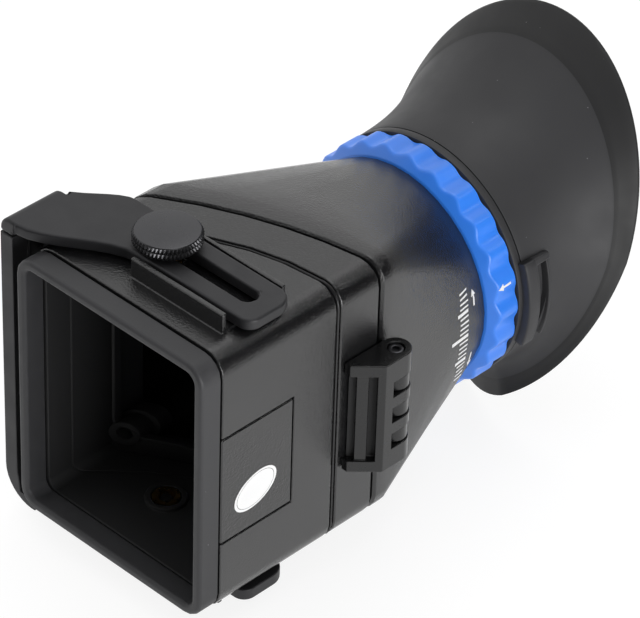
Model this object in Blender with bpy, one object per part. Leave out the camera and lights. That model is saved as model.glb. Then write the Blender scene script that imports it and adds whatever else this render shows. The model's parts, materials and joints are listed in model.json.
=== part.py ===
"""LCD viewfinder loupe: a hooded box for a camera's rear screen, with a swing-away lens cone.

The box stands behind a soft screen hood, is held between the two arms of a U bracket by
thumb screws, and carries the lens cone on a pinned hinge at its right side. The cone holds
a two-lens eyepiece, which a scalloped focusing ring moves along three helical slots, and a
rubber eyecup that turns about the optical axis.

The loupe's own frame has X to the right and Z up across the screen opening, and Y along
the optical axis, from the hood's front face at zero to the eyecup. All sizes are in metres.
"""

import math

import bmesh
import bpy
from mathutils import Matrix, Vector

# Clearances and cuts
SEAT_GAP = 0.0003
RUN_GAP = 0.0003
CUT_OVERRUN = 0.0020
FUSE_DEPTH = 0.0010
EDGE_EASE = 0.0006

# Screen hood, the soft frame that meets the camera's screen
HOOD_WIDTH = 0.0600
HOOD_HEIGHT = 0.0716
HOOD_DEPTH = 0.0060
HOOD_BAND = 0.0027
HOOD_CORNER = 0.0052

# Tongue of the front shell that holds the hood
TONGUE_INSET = 0.0010
TONGUE_THICKNESS = 0.0007
TONGUE_LENGTH = 0.0026
TONGUE_GAP = 0.0002

# Box shells
SHELL_WIDTH = 0.0604
SHELL_HEIGHT = 0.0728
SHELL_CORNER = 0.0058
SHELL_WALL = 0.0034
LAP_INSET = 0.0020

# The parting lines of the box, and the fold of the cone, are arcs seen from above
GROOVE_CENTRE_X = 0.0266
GROOVE_SETBACK = 0.0136
GROOVE_RADIUS = 0.0660
GROOVE_WIDTH = 0.0013
SPLIT_CENTRE_X = 0.0399
SPLIT_CREST_Y = 0.0562
SPLIT_RADIUS = 0.1183
SPLIT_GAP = 0.0010
FOLD_CENTRE_X = 0.0300
FOLD_REACH = 0.0040
FOLD_RADIUS = 0.1000
SPIGOT_LENGTH = 0.0020
GASKET_SINK = 0.0007
TRAP_LENGTH = 0.0014
TRAP_GAP = 0.0005

# Light baffle inside the box
BAFFLE_SETBACK = 0.0098
BAFFLE_THICKNESS = 0.0014
BAFFLE_SIDE_FLANGE = 0.0014
BAFFLE_TOP_FLANGE = 0.0058
BAFFLE_CORNER = 0.0040
BAFFLE_RIM_WIDTH = 0.0014
BAFFLE_RIM_HEIGHT = 0.0007
EAR_SIDE_INSET = 0.00345
EAR_TOP_INSET = 0.0062
EAR_RADIUS = 0.0034
EAR_PROUD = 0.0003
EAR_THICKNESS = 0.0036
EAR_SINK = 0.0024
POST_RADIUS = 0.0045
POST_LENGTH = 0.0042

# Guide rails on the top and bottom of the box
RAIL_LEFT_X = -0.0056
RAIL_RIGHT_X = 0.0236
RAIL_STAND = 0.0050
FRONT_RAIL_Y = 0.0124
FRONT_RAIL_THICKNESS = 0.0014
LEDGE_HEIGHT = 0.0006
REAR_RAIL_THICKNESS = 0.0012
REAR_RAIL_GAP = 0.0004
REAR_RAIL_DROP = 0.0014

# Inlaid cover on the right side
COVER_DEPTH = 0.0012
COVER_BOTTOM_Z = -0.0163
COVER_TOP_Z = 0.0139
COVER_BACK_Y = 0.0288
COVER_CORNER = 0.0006

# U bracket
ARM_THICKNESS = 0.0030
ARM_LIFT = 0.0008
COLUMN_THICKNESS = 0.0041
COLUMN_STANDOFF = 0.0045
COLUMN_FRONT_Y = 0.0034
COLUMN_DEPTH = 0.0166
COLUMN_BOTTOM_RADIUS = 0.0090
COLUMN_TOP_RADIUS = 0.0030
COLUMN_JOINT_DROP = 0.0040
PLATE_CENTRE_Y = 0.0230
PLATE_WIDTH = 0.0146
PLATE_RIGHT_X = 0.0286
PLATE_FRONT_CORNER = 0.0032
PLATE_BACK_CORNER = 0.0050
BEND_FRONT_START_X = -0.0340
BEND_FRONT_END_X = -0.0070
BEND_BACK_END_X = -0.0220
SLOT_WIDTH = 0.0048
SLOT_LEFT_X = -0.0078
SLOT_RIGHT_X = 0.0206
TAB_THICKNESS = 0.0012
TAB_LENGTH = 0.0160
TAB_FRONT_Y = 0.0084
TAB_WIDTH = 0.0090

# Thumb screws and their threaded inserts
THUMB_X = -0.0047
THUMB_RADIUS = 0.0082
THUMB_HEIGHT = 0.0034
THUMB_EASE = 0.0004
THUMB_SHOULDER_RADIUS = 0.0056
THUMB_SHOULDER = 0.0006
KNURL_DEPTH = 0.0004
STUD_RADIUS = 0.0018
STUD_LENGTH = 0.0078
INSERT_RADIUS = 0.0034
INSERT_WALL = 0.0013
INSERT_LENGTH = 0.0040
BOSS_RADIUS = 0.0052
BOSS_LENGTH = 0.0009

# Hinge at the right side
PIN_X = 0.0343
PIN_REACH = 0.0009
HINGE_HALF_HEIGHT = 0.0153
BARREL_RADIUS = 0.0037
LEAF_LENGTH = 0.0126
LEAF_STEP = 0.0021
BEVEL_LENGTH = 0.0058
WINDOW_TOP_Z = 0.0072
WINDOW_PITCH = 0.00745
WINDOW_HEIGHT = 0.0043
WINDOW_SETBACK = 0.0041
KNUCKLE_RADIUS = 0.0034
KNUCKLE_PLAY = 0.00025
PIN_RADIUS = 0.0012
PIN_HOLE_GAP = 0.0002
PIN_HEAD_RADIUS = 0.0019
PIN_HEAD_HEIGHT = 0.0010
POCKET_LENGTH = 0.0063
POCKET_HALF_HEIGHT = 0.0122
POCKET_DEPTH = 0.0022
POCKET_BAR_START = 0.0015
POCKET_BAR_WIDTH = 0.0028
POCKET_BAR_DROP = 0.0005
LEAF_PLATE_THICKNESS = 0.0020
LEAF_PLATE_LENGTH = 0.0091
LEAF_PLATE_HALF_HEIGHT = 0.0102
LEAF_PLATE_LEAN = 0.0008
FIXED_SCREW_SETBACK = 0.0076
FIXED_SCREW_Z = 0.0138
FIXED_SCREW_LENGTH = 0.0070
MOVING_SCREW_REACH = 0.0064
MOVING_SCREW_Z = 0.0074
MOVING_SCREW_SEAT = 0.0035
MOVING_SCREW_LENGTH = 0.0054

# Small screws
SCREW_RADIUS = 0.0008
SCREW_HEAD_RADIUS = 0.0015
SCREW_HEAD_HEIGHT = 0.0010
SCREW_HOLE_GAP = 0.0002
BAFFLE_SCREW_LENGTH = 0.0046
TAB_SCREW_LENGTH = 0.0036
TAB_SCREW_DROP = 0.0065
TAB_SCREW_PITCH = 0.0070

# Lens cone
CONE_WALL = 0.0019
CONE_LENGTH = 0.0355
CONE_END_RADIUS = 0.0288
CONE_BORE_RADIUS = 0.0264
SHELF_SETBACK = 0.0157
SHELF_THICKNESS = 0.0025
SHELF_BORE_RADIUS = 0.0232

# The optical axis of the eyepiece, beside the middle of the box
EYE_X = -0.0019
EYE_Z = -0.0016

# Eyepiece tube
TUBE_RADIUS = 0.0243
TUBE_BORE_RADIUS = 0.0227
TUBE_FLANGE_THICKNESS = 0.0020
TUBE_REACH = 0.0049
TUBE_SCREW_CIRCLE = 0.0245
TUBE_SCREW_SKIN = 0.0005

# Focusing ring and its helical slots
RING_RADIUS = 0.0320
RING_WAVE_DEPTH = 0.0014
RING_FRONT_RADIUS = 0.0291
RING_LENGTH = 0.0079
RING_BEVEL = 0.0022
SLEEVE_RADIUS = 0.0261
SLEEVE_BORE_RADIUS = 0.0246
SLEEVE_LENGTH = 0.0105
RING_HALF_TURN_DEG = 27.0
LENS_HALF_TRAVEL = 0.0030
GUIDE_PIN_SETBACK = 0.0050
GUIDE_PIN_RADIUS = 0.0010
GUIDE_SLOT_GAP = 0.0002
GUIDE_PIN_SINK = 0.0012

# Lens cell and lenses
CELL_RADIUS = 0.0224
CELL_BORE_RADIUS = 0.0209
CELL_FRONT_REACH = 0.0048
CELL_LENGTH = 0.0140
CELL_LIP_RADIUS = 0.0192
CELL_LIP_THICKNESS = 0.0012
LENS_RADIUS = 0.0206
FRONT_LENS_EDGE = 0.0026
FRONT_LENS_CROWN = 0.0022
REAR_LENS_EDGE = 0.0018
REAR_LENS_CROWN = 0.0016
SPACER_LENGTH = 0.0042
SPACER_WALL = 0.0012
RETAINER_LENGTH = 0.0014
RETAINER_BORE_RADIUS = 0.0184

# Eyecup
MOUNT_RADIUS = 0.0294
MOUNT_LENGTH = 0.0030
CUP_RUN_GAP = 0.0004
CUP_NECK_RADIUS = 0.0318
COLLAR_LENGTH = 0.0023
CUP_SEAM_DEPTH = 0.0008
CUP_SEAM_WIDTH = 0.0005
CUP_LIP_RADIUS = 0.0247
CUP_LIP_THICKNESS = 0.0022
CUP_WALL = 0.0016
FLARE_LENGTH = 0.0249
RIM_HALF_WIDTH = 0.0387
RIM_HALF_HEIGHT = 0.0462
RIM_LIFT = 0.0041
RIM_SHIFT = 0.0019
RIM_BAND = 0.0066
RIM_TURN_IN = 0.0032
LUG_WIDTH = 0.0080
LUG_STAND = 0.0019
LUG_SLOT_WIDTH = 0.0019
LUG_RIM = 0.0006
LUG_FRONT_MARGIN = 0.0024
LUG_TOP_MARGIN = 0.0026

# Shares and counts, which have no unit
RIM_SLOPE = 0.35
FLARE_POWER = 1.6
WAVES = 24
WAVE_STEPS = 4
KNURLS = 22
CORNER_STEPS = 4
SIDE_STEPS = 5
ROUND_STEPS = 28
CUP_STEPS = 36
SMALL_STEPS = 12
SCREW_STEPS = 10
BEND_STEPS = 8
FLARE_STEPS = 6
CONE_STEPS = 4
LENS_RINGS = 2
SLOT_TURNS = 6
GUIDE_ANGLES_DEG = (90.0, 210.0, 330.0)
TUBE_SCREW_ANGLES_DEG = (30.0, 150.0, 270.0)
LUG_ANGLE_DEG = -1.0
LUG_HALF_ANGLE_DEG = 20.0
LUG_STEPS = 8
SMOOTH_ANGLE_DEG = 32.0

# Places that follow from the sizes above
SHELL_TOP_Z = SHELL_HEIGHT / 2
SHELL_SIDE_X = SHELL_WIDTH / 2
SHELL_FRONT_Y = HOOD_DEPTH + SEAT_GAP
GROOVE_CREST_Y = SPLIT_CREST_Y - GROOVE_SETBACK
FOLD_CREST_Y = SPLIT_CREST_Y + FOLD_REACH
PIN_Y = SPLIT_CREST_Y + PIN_REACH
LEAF_FRONT_Y = PIN_Y - LEAF_LENGTH
BEVEL_END_Y = LEAF_FRONT_Y + BEVEL_LENGTH
WINDOW_FRONT_Y = PIN_Y - WINDOW_SETBACK
LEAF_PLATE_BACK_Y = PIN_Y + LEAF_PLATE_LENGTH
FIXED_SCREW_Y = PIN_Y - FIXED_SCREW_SETBACK
MOVING_SCREW_Y = PIN_Y + MOVING_SCREW_REACH
CONE_END_Y = FOLD_CREST_Y + CONE_LENGTH
SHELF_Y = CONE_END_Y - SHELF_SETBACK
ARM_UNDER_Z = SHELL_TOP_Z + ARM_LIFT
ARM_TOP_Z = ARM_UNDER_Z + ARM_THICKNESS
COLUMN_INNER_X = -SHELL_SIDE_X - COLUMN_STANDOFF
COLUMN_OUTER_X = COLUMN_INNER_X - COLUMN_THICKNESS
COLUMN_BACK_Y = COLUMN_FRONT_Y + COLUMN_DEPTH
COLUMN_JOINT_Z = ARM_TOP_Z - COLUMN_JOINT_DROP
PLATE_FRONT_Y = PLATE_CENTRE_Y - PLATE_WIDTH / 2
PLATE_BACK_Y = PLATE_CENTRE_Y + PLATE_WIDTH / 2
THUMB_TOP_Z = ARM_TOP_Z + SEAT_GAP + THUMB_SHOULDER + THUMB_HEIGHT
INSERT_BORE_RADIUS = INSERT_RADIUS - INSERT_WALL
LEAF_BASE_X = SHELL_SIDE_X + SEAT_GAP
LEAF_OUTER_X = PIN_X + BARREL_RADIUS
BEVEL_START_X = SHELL_SIDE_X + LEAF_STEP
RING_START_Y = CONE_END_Y + RUN_GAP
RING_END_Y = RING_START_Y + RING_LENGTH
SLEEVE_START_Y = RING_START_Y - SLEEVE_LENGTH
GUIDE_PIN_Y = RING_START_Y - GUIDE_PIN_SETBACK
CELL_START_Y = GUIDE_PIN_Y - CELL_FRONT_REACH
CELL_END_Y = CELL_START_Y + CELL_LENGTH
TUBE_END_Y = RING_END_Y + TUBE_REACH
TUBE_FLANGE_Y = SHELF_Y + SHELF_THICKNESS + SEAT_GAP
MOUNT_Y = RING_END_Y + RUN_GAP
MOUNT_END_Y = MOUNT_Y + MOUNT_LENGTH
CUP_LIP_Y = MOUNT_END_Y + SEAT_GAP
CUP_START_Y = RING_END_Y + CUP_RUN_GAP
CUP_SEAM_Y = CUP_START_Y + COLLAR_LENGTH
RIM_Y = CUP_SEAM_Y + FLARE_LENGTH
RIM_TOP_Y = RIM_Y + RIM_SLOPE * RIM_HALF_HEIGHT
REST_Z = THUMB_TOP_Z
HELIX_RISE = LENS_HALF_TRAVEL / math.radians(RING_HALF_TURN_DEG)


def new_material(name, colour, roughness, metallic=0.0, transmission=0.0):
    """A plain Principled finish for one kind of piece."""
    material = bpy.data.materials.new(name)
    material.use_nodes = True
    shader = material.node_tree.nodes["Principled BSDF"]
    shader.inputs["Base Color"].default_value = (*colour, 1.0)
    shader.inputs["Roughness"].default_value = roughness
    shader.inputs["Metallic"].default_value = metallic
    shader.inputs["Transmission Weight"].default_value = transmission
    return material


def add_body(name, pivot, parent):
    """An empty on a joint's axis, which carries the pieces that move together."""
    empty = bpy.data.objects.new(name, None)
    bpy.context.collection.objects.link(empty)
    empty.parent = parent
    empty.location = pivot - (Vector(parent["pivot"]) if parent else Vector())
    empty["pivot"] = pivot
    return empty


def add_piece(name, mesh_data, body, material):
    """An object whose mesh is given in the loupe's frame, hung on its body's empty."""
    bmesh.ops.recalc_face_normals(mesh_data, faces=mesh_data.faces)
    mesh = bpy.data.meshes.new(name)
    mesh_data.to_mesh(mesh)
    mesh_data.free()
    mesh.transform(Matrix.Translation(-Vector(body["pivot"])))
    if material:
        mesh.materials.append(material)
    mesh.shade_smooth()
    mesh.set_sharp_from_angle(angle=math.radians(SMOOTH_ANGLE_DEG))
    piece = bpy.data.objects.new(name, mesh)
    bpy.context.collection.objects.link(piece)
    piece.parent = body
    return piece


def combine(piece, tool, operation):
    """Joins a tool to a piece, cuts it away, or keeps what both share."""
    tool.hide_render = True
    tool.display_type = "WIRE"
    modifier = piece.modifiers.new(tool.name, "BOOLEAN")
    modifier.operation = operation
    modifier.object = tool
    modifier.solver = "EXACT"


def cut(piece, tool_mesh, body):
    combine(piece, add_piece(piece.name + ".cut", tool_mesh, body, None), "DIFFERENCE")


def join(piece, tool_mesh, body):
    combine(piece, add_piece(piece.name + ".add", tool_mesh, body, None), "UNION")


def box_outline(half_width, half_height, radius):
    """Points (x, z) of a rounded rectangle, evenly numbered so that it lofts to a circle."""
    radius = min(radius, half_width / 2, half_height / 2)
    points = []
    corners = [(1, 1), (-1, 1), (-1, -1), (1, -1)]
    for index, (side_x, side_z) in enumerate(corners):
        centre_x = side_x * (half_width - radius)
        centre_z = side_z * (half_height - radius)
        for step in range(CORNER_STEPS + 1):
            angle = math.pi / 2 * (index + step / CORNER_STEPS)
            points.append((centre_x + radius * math.cos(angle), centre_z + radius * math.sin(angle)))
        last_x, last_z = points[-1]
        next_x, next_z = corners[(index + 1) % len(corners)]
        next_x *= half_width - (radius if index % 2 == 0 else 0)
        next_z *= half_height - (radius if index % 2 == 1 else 0)
        for step in range(1, SIDE_STEPS):
            share = step / SIDE_STEPS
            points.append((last_x + (next_x - last_x) * share, last_z + (next_z - last_z) * share))
    return points


def box_circle(radius):
    """A circle round the optical axis, with the same numbering as box_outline."""
    count = 4 * (CORNER_STEPS + SIDE_STEPS)
    first = math.pi / 4 - math.pi * CORNER_STEPS / count
    angles = [first + 2 * math.pi * index / count for index in range(count)]
    return [(EYE_X + radius * math.cos(angle), EYE_Z + radius * math.sin(angle)) for angle in angles]


def blend_outlines(first, second, share):
    return [
        (x + (other_x - x) * share, z + (other_z - z) * share)
        for (x, z), (other_x, other_z) in zip(first, second)
    ]


def circle(radius, count=ROUND_STEPS):
    angles = [2 * math.pi * (index + 0.5) / count for index in range(count)]
    return [(radius * math.cos(angle), radius * math.sin(angle)) for angle in angles]


def on_axis(x, depth, z):
    """A point given from the optical axis of the eyepiece."""
    return EYE_X + x, depth, EYE_Z + z


def spin(mesh_data, angle_deg):
    """Turns a mesh made at the right of the optical axis to an angle about that axis."""
    turn = Matrix.Rotation(-math.radians(angle_deg), 4, "Y")
    mesh_data.transform(Matrix.Translation((EYE_X, 0, EYE_Z)) @ turn)
    return mesh_data


def groove_arc(x):
    """Y of the middle of the groove between the front shell and the rear frame."""
    return GROOVE_CREST_Y - GROOVE_RADIUS + math.sqrt(GROOVE_RADIUS**2 - (x - GROOVE_CENTRE_X) ** 2)


def split_arc(x):
    """Y of the middle of the split between the box and the lens cone."""
    return SPLIT_CREST_Y - SPLIT_RADIUS + math.sqrt(SPLIT_RADIUS**2 - (x - SPLIT_CENTRE_X) ** 2)


def fold_arc(x):
    """Y of the fold where the cone starts to narrow."""
    return FOLD_CREST_Y - FOLD_RADIUS + math.sqrt(FOLD_RADIUS**2 - (x - FOLD_CENTRE_X) ** 2)


def ring_at(outline, depth):
    """An outline set across the optical axis, at one depth or along a parting arc."""
    if callable(depth):
        return [(x, depth(x), z) for x, z in outline]
    return [(x, depth, z) for x, z in outline]


def shifted(arc, offset):
    return lambda x: arc(x) + offset


def closed_loop(rings):
    """A hollow body whose wall runs through all the rings and back to the first."""
    mesh_data = bmesh.new()
    rows = [[mesh_data.verts.new(point) for point in ring] for ring in rings]
    for row, following in zip(rows, rows[1:] + rows[:1]):
        bridge(mesh_data, row, following)
    return mesh_data


def bridge(mesh_data, row, following):
    count = len(row)
    for index in range(count):
        after = (index + 1) % count
        mesh_data.faces.new((row[index], row[after], following[after], following[index]))


def capped_loft(rings):
    """A solid body through the rings, closed by a flat face at both ends."""
    mesh_data = bmesh.new()
    rows = [[mesh_data.verts.new(point) for point in ring] for ring in rings]
    for row, following in zip(rows, rows[1:]):
        bridge(mesh_data, row, following)
    mesh_data.faces.new(rows[0])
    mesh_data.faces.new(rows[-1])
    return mesh_data


def turned(profile, count=ROUND_STEPS, centre=(EYE_X, EYE_Z), hollow=True):
    """A body turned about the Y direction from (radius, y) points."""
    rings = [
        [(centre[0] + x, depth, centre[1] + z) for x, z in circle(radius, count)]
        for radius, depth in profile
    ]
    return closed_loop(rings) if hollow else capped_loft(rings)


def upright(profile, centre, count, hollow=False):
    """A body turned about the vertical through centre, from (radius, z) points."""
    rings = [
        [(centre[0] + x, centre[1] + y, height) for x, y in circle(radius, count)]
        for radius, height in profile
    ]
    return closed_loop(rings) if hollow else capped_loft(rings)


def sideways(profile, centre, count):
    """A body turned about the X direction through centre (y, z), from (radius, x) points."""
    return capped_loft(
        [
            [(place, centre[0] + y, centre[1] + z) for y, z in circle(radius, count)]
            for radius, place in profile
        ]
    )


def block(low, high):
    """A plain box between two corners."""
    mesh_data = bmesh.new()
    size = Vector(high) - Vector(low)
    middle = (Vector(high) + Vector(low)) / 2
    bmesh.ops.create_cube(mesh_data, size=1, matrix=Matrix.Translation(middle) @ Matrix.Diagonal((*size, 1)))
    return mesh_data


def plate(outline, low_z, high_z):
    """A flat plate from its plan outline, points (x, y)."""
    return capped_loft([[(x, y, height) for x, y in outline] for height in (low_z, high_z)])


def plan_arc(centre, radius, start_deg, end_deg, steps=BEND_STEPS):
    """Points (x, y) along an arc in plan, both ends among them."""
    angles = [math.radians(start_deg + (end_deg - start_deg) * step / steps) for step in range(steps + 1)]
    return [(centre[0] + radius * math.cos(angle), centre[1] + radius * math.sin(angle)) for angle in angles]


def ease(share):
    share = min(max(share, 0), 1)
    return share * share * (3 - 2 * share)


def inset_box(width, height, corner, inset):
    return box_outline(width / 2 - inset, height / 2 - inset, max(corner - inset, corner / 4))


def hood_outline(inset):
    return inset_box(HOOD_WIDTH, HOOD_HEIGHT, HOOD_CORNER, inset)


def shell_outline(inset):
    return inset_box(SHELL_WIDTH, SHELL_HEIGHT, SHELL_CORNER, inset)


def make_screen_hood(body, material):
    """Soft frame with rounded lips, and a groove in its back for the shell's tongue."""
    groove_outer = TONGUE_INSET - TONGUE_GAP
    groove_inner = TONGUE_INSET + TONGUE_THICKNESS + TONGUE_GAP
    groove_floor = HOOD_DEPTH - TONGUE_LENGTH - SEAT_GAP
    rings = [
        ring_at(hood_outline(EDGE_EASE), 0),
        ring_at(hood_outline(0), EDGE_EASE),
        ring_at(hood_outline(0), HOOD_DEPTH),
        ring_at(hood_outline(groove_outer), HOOD_DEPTH),
        ring_at(hood_outline(groove_outer), groove_floor),
        ring_at(hood_outline(groove_inner), groove_floor),
        ring_at(hood_outline(groove_inner), HOOD_DEPTH),
        ring_at(hood_outline(HOOD_BAND), HOOD_DEPTH),
        ring_at(hood_outline(HOOD_BAND), EDGE_EASE),
        ring_at(hood_outline(HOOD_BAND - EDGE_EASE), 0),
    ]
    add_piece("screen_hood", closed_loop(rings), body, material)


def make_front_shell(body, material):
    """Front half of the box, with rails, insert bosses and the seat of the side cover."""
    front_y = SHELL_FRONT_Y
    tongue_y = HOOD_DEPTH - TONGUE_LENGTH
    rear = shifted(groove_arc, -GROOVE_WIDTH / 2)
    lap = shifted(groove_arc, GROOVE_WIDTH / 2 - SPIGOT_LENGTH - SEAT_GAP)
    rings = [
        ring_at(hood_outline(TONGUE_INSET), tongue_y),
        ring_at(hood_outline(TONGUE_INSET), front_y),
        ring_at(shell_outline(0), front_y),
        ring_at(shell_outline(0), shifted(rear, -EDGE_EASE / 2)),
        ring_at(shell_outline(EDGE_EASE / 2), rear),
        ring_at(shell_outline(LAP_INSET), rear),
        ring_at(shell_outline(LAP_INSET), lap),
        ring_at(shell_outline(SHELL_WALL), lap),
        ring_at(shell_outline(SHELL_WALL), front_y),
        ring_at(hood_outline(TONGUE_INSET + TONGUE_THICKNESS), front_y),
        ring_at(hood_outline(TONGUE_INSET + TONGUE_THICKNESS), tongue_y),
    ]
    shell = add_piece("front_shell", closed_loop(rings), body, material)
    for side in (1, -1):
        add_insert_boss(shell, side, body)
        add_rails(shell, side, body)
    cover_low = (SHELL_SIDE_X - COVER_DEPTH, front_y - CUT_OVERRUN, COVER_BOTTOM_Z)
    cover_high = (SHELL_SIDE_X + CUT_OVERRUN, COVER_BACK_Y, COVER_TOP_Z)
    cut(shell, block(cover_low, cover_high), body)


def add_insert_boss(shell, side, body):
    """Boss inside the top or bottom wall, bored for the threaded insert."""
    wall_z = side * (SHELL_TOP_Z - SHELL_WALL)
    centre = (THUMB_X, PLATE_CENTRE_Y)
    boss = [(BOSS_RADIUS, wall_z + side * FUSE_DEPTH), (BOSS_RADIUS, wall_z - side * BOSS_LENGTH)]
    join(shell, upright(boss, centre, ROUND_STEPS // 2), body)
    bore = INSERT_RADIUS + SEAT_GAP
    ends = (side * (SHELL_TOP_Z + CUT_OVERRUN), wall_z - side * (BOSS_LENGTH + CUT_OVERRUN))
    cut(shell, upright([(bore, ends[0]), (bore, ends[1])], centre, ROUND_STEPS // 2), body)


def add_rails(shell, side, body):
    """The pair of rails that guide the slotted arm."""
    rear_rail_y = PLATE_BACK_Y + REAR_RAIL_GAP
    ledge_start = FRONT_RAIL_Y + FRONT_RAIL_THICKNESS - FUSE_DEPTH
    rails = (
        (FRONT_RAIL_Y, FRONT_RAIL_THICKNESS, RAIL_STAND),
        (ledge_start, PLATE_FRONT_Y + FUSE_DEPTH - ledge_start, LEDGE_HEIGHT),
        (rear_rail_y, REAR_RAIL_THICKNESS, RAIL_STAND - REAR_RAIL_DROP),
    )
    for front_y, thickness, stand in rails:
        inner_z, outer_z = sorted((side * (SHELL_TOP_Z - FUSE_DEPTH), side * (SHELL_TOP_Z + stand)))
        join(
            shell,
            block((RAIL_LEFT_X, front_y, inner_z), (RAIL_RIGHT_X, front_y + thickness, outer_z)),
            body,
        )


def make_side_cover(body, material):
    """Flush cover let into the right wall, with a fine gap all round."""
    low = (SHELL_SIDE_X - COVER_DEPTH + SEAT_GAP, SHELL_FRONT_Y, COVER_BOTTOM_Z + SEAT_GAP)
    high = (SHELL_SIDE_X, COVER_BACK_Y - SEAT_GAP, COVER_TOP_Z - SEAT_GAP)
    cover = add_piece("side_cover", block(low, high), body, material)
    bevel = cover.modifiers.new("eased_edges", "BEVEL")
    bevel.width = COVER_CORNER / 2
    bevel.segments = 2


def make_shell_gasket(body, material):
    """Gasket that lies in the groove between the two box shells."""
    front = shifted(groove_arc, -GROOVE_WIDTH / 2 + SEAT_GAP)
    rear = shifted(groove_arc, GROOVE_WIDTH / 2 - SEAT_GAP)
    rings = [
        ring_at(shell_outline(GASKET_SINK), front),
        ring_at(shell_outline(GASKET_SINK), rear),
        ring_at(shell_outline(LAP_INSET), rear),
        ring_at(shell_outline(LAP_INSET), front),
    ]
    add_piece("shell_gasket", closed_loop(rings), body, material)


def make_rear_frame(body, material):
    """Rear half of the box: spigot, thick wall and the lip that keeps light out of the split."""
    spigot = LAP_INSET + SEAT_GAP
    trap = CONE_WALL + TRAP_GAP
    front = shifted(groove_arc, GROOVE_WIDTH / 2)
    rear = shifted(split_arc, -SPLIT_GAP / 2)
    rings = [
        ring_at(shell_outline(SHELL_WALL), shifted(front, -SPIGOT_LENGTH)),
        ring_at(shell_outline(spigot), shifted(front, -SPIGOT_LENGTH)),
        ring_at(shell_outline(spigot), front),
        ring_at(shell_outline(EDGE_EASE / 2), front),
        ring_at(shell_outline(0), shifted(front, EDGE_EASE / 2)),
        ring_at(shell_outline(0), shifted(rear, -EDGE_EASE / 2)),
        ring_at(shell_outline(EDGE_EASE / 2), rear),
        ring_at(shell_outline(trap), rear),
        ring_at(shell_outline(trap), shifted(rear, TRAP_LENGTH)),
        ring_at(shell_outline(SHELL_WALL), shifted(rear, TRAP_LENGTH)),
    ]
    frame = add_piece("rear_frame", closed_loop(rings), body, material)
    for ear_x, ear_z in ear_places():
        start = EAR_THICKNESS + SEAT_GAP
        join(frame, leaning_disc((ear_x, ear_z), POST_RADIUS, start, start + POST_LENGTH), body)
        hole = SCREW_RADIUS + SCREW_HOLE_GAP
        hole_end = screw_seat(ear_x) + BAFFLE_SCREW_LENGTH + SEAT_GAP
        cut(frame, turned([(hole, screw_seat(ear_x)), (hole, hole_end)],
                          SCREW_STEPS, (ear_x, ear_z), hollow=False), body)
    for side in (1, -1):
        cut(frame, side_screw_hole(FIXED_SCREW_Y, side * FIXED_SCREW_Z), body)


def side_screw_hole(depth_y, height_z):
    """A bore through the right wall for a hinge screw."""
    hole = SCREW_RADIUS + SCREW_HOLE_GAP
    ends = (SHELL_SIDE_X - SHELL_WALL - CUT_OVERRUN, SHELL_SIDE_X + CUT_OVERRUN)
    return sideways([(hole, ends[0]), (hole, ends[1])], (depth_y, height_z), SCREW_STEPS)


def ear_places():
    """The four (x, z) places of the baffle's ears, set in from the box's inner walls."""
    ear_x = SHELL_SIDE_X - SHELL_WALL - EAR_SIDE_INSET
    ear_z = SHELL_TOP_Z - SHELL_WALL - EAR_TOP_INSET
    return [(side_x * ear_x, side_z * ear_z) for side_x in (-1, 1) for side_z in (-1, 1)]


def leaning_disc(centre, radius, start, end):
    """A round lug whose faces follow the baffle's curved flange, between two depths behind it."""
    outline = [(centre[0] + x, centre[1] + z) for x, z in circle(radius, SMALL_STEPS)]
    faces = [shifted(split_arc, depth - BAFFLE_SETBACK) for depth in (start, end)]
    return capped_loft([ring_at(outline, face) for face in faces])


def screw_seat(ear_x):
    """Y of the seat under a baffle screw's head."""
    return split_arc(ear_x) - BAFFLE_SETBACK + EAR_SINK


def make_light_baffle(body, material):
    """Flange that follows the split's arc inside the box, with four screw ears."""
    front = shifted(split_arc, -BAFFLE_SETBACK)
    rear = shifted(front, BAFFLE_THICKNESS)
    raised = shifted(front, -BAFFLE_RIM_HEIGHT)
    outer = shell_outline(SHELL_WALL + SEAT_GAP)
    half_width = SHELL_SIDE_X - SHELL_WALL - BAFFLE_SIDE_FLANGE
    half_height = SHELL_TOP_Z - SHELL_WALL - BAFFLE_TOP_FLANGE
    inner = box_outline(half_width, half_height, BAFFLE_CORNER)
    rim_width = min(BAFFLE_RIM_WIDTH, BAFFLE_SIDE_FLANGE / 2)
    rim = box_outline(half_width + rim_width, half_height + rim_width, BAFFLE_CORNER + rim_width)
    rings = [
        ring_at(outer, front),
        ring_at(outer, rear),
        ring_at(inner, rear),
        ring_at(inner, raised),
        ring_at(rim, raised),
        ring_at(rim, front),
    ]
    baffle = add_piece("light_baffle", closed_loop(rings), body, material)
    for ear_x, ear_z in ear_places():
        proud = -BAFFLE_RIM_HEIGHT - EAR_PROUD
        join(baffle, leaning_disc((ear_x, ear_z), EAR_RADIUS, proud, EAR_THICKNESS), body)
        hole = SCREW_RADIUS + SCREW_HOLE_GAP
        sink = SCREW_HEAD_RADIUS + SCREW_HOLE_GAP
        seat = screw_seat(ear_x)
        ends = (seat - EAR_THICKNESS - CUT_OVERRUN, seat + EAR_THICKNESS + CUT_OVERRUN)
        bore = [(sink, ends[0]), (sink, seat + SEAT_GAP), (hole, seat + SEAT_GAP), (hole, ends[1])]
        cut(baffle, turned(bore, SCREW_STEPS, (ear_x, ear_z), hollow=False), body)


def screw_profile(head_at, direction, length):
    """Cap screw as (radius, place) points, from its head at head_at along direction."""
    under = head_at + direction * SCREW_HEAD_HEIGHT
    tip = under + direction * length
    return [
        (SCREW_HEAD_RADIUS, head_at),
        (SCREW_HEAD_RADIUS, under),
        (SCREW_RADIUS, under),
        (SCREW_RADIUS, tip),
    ]


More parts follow.
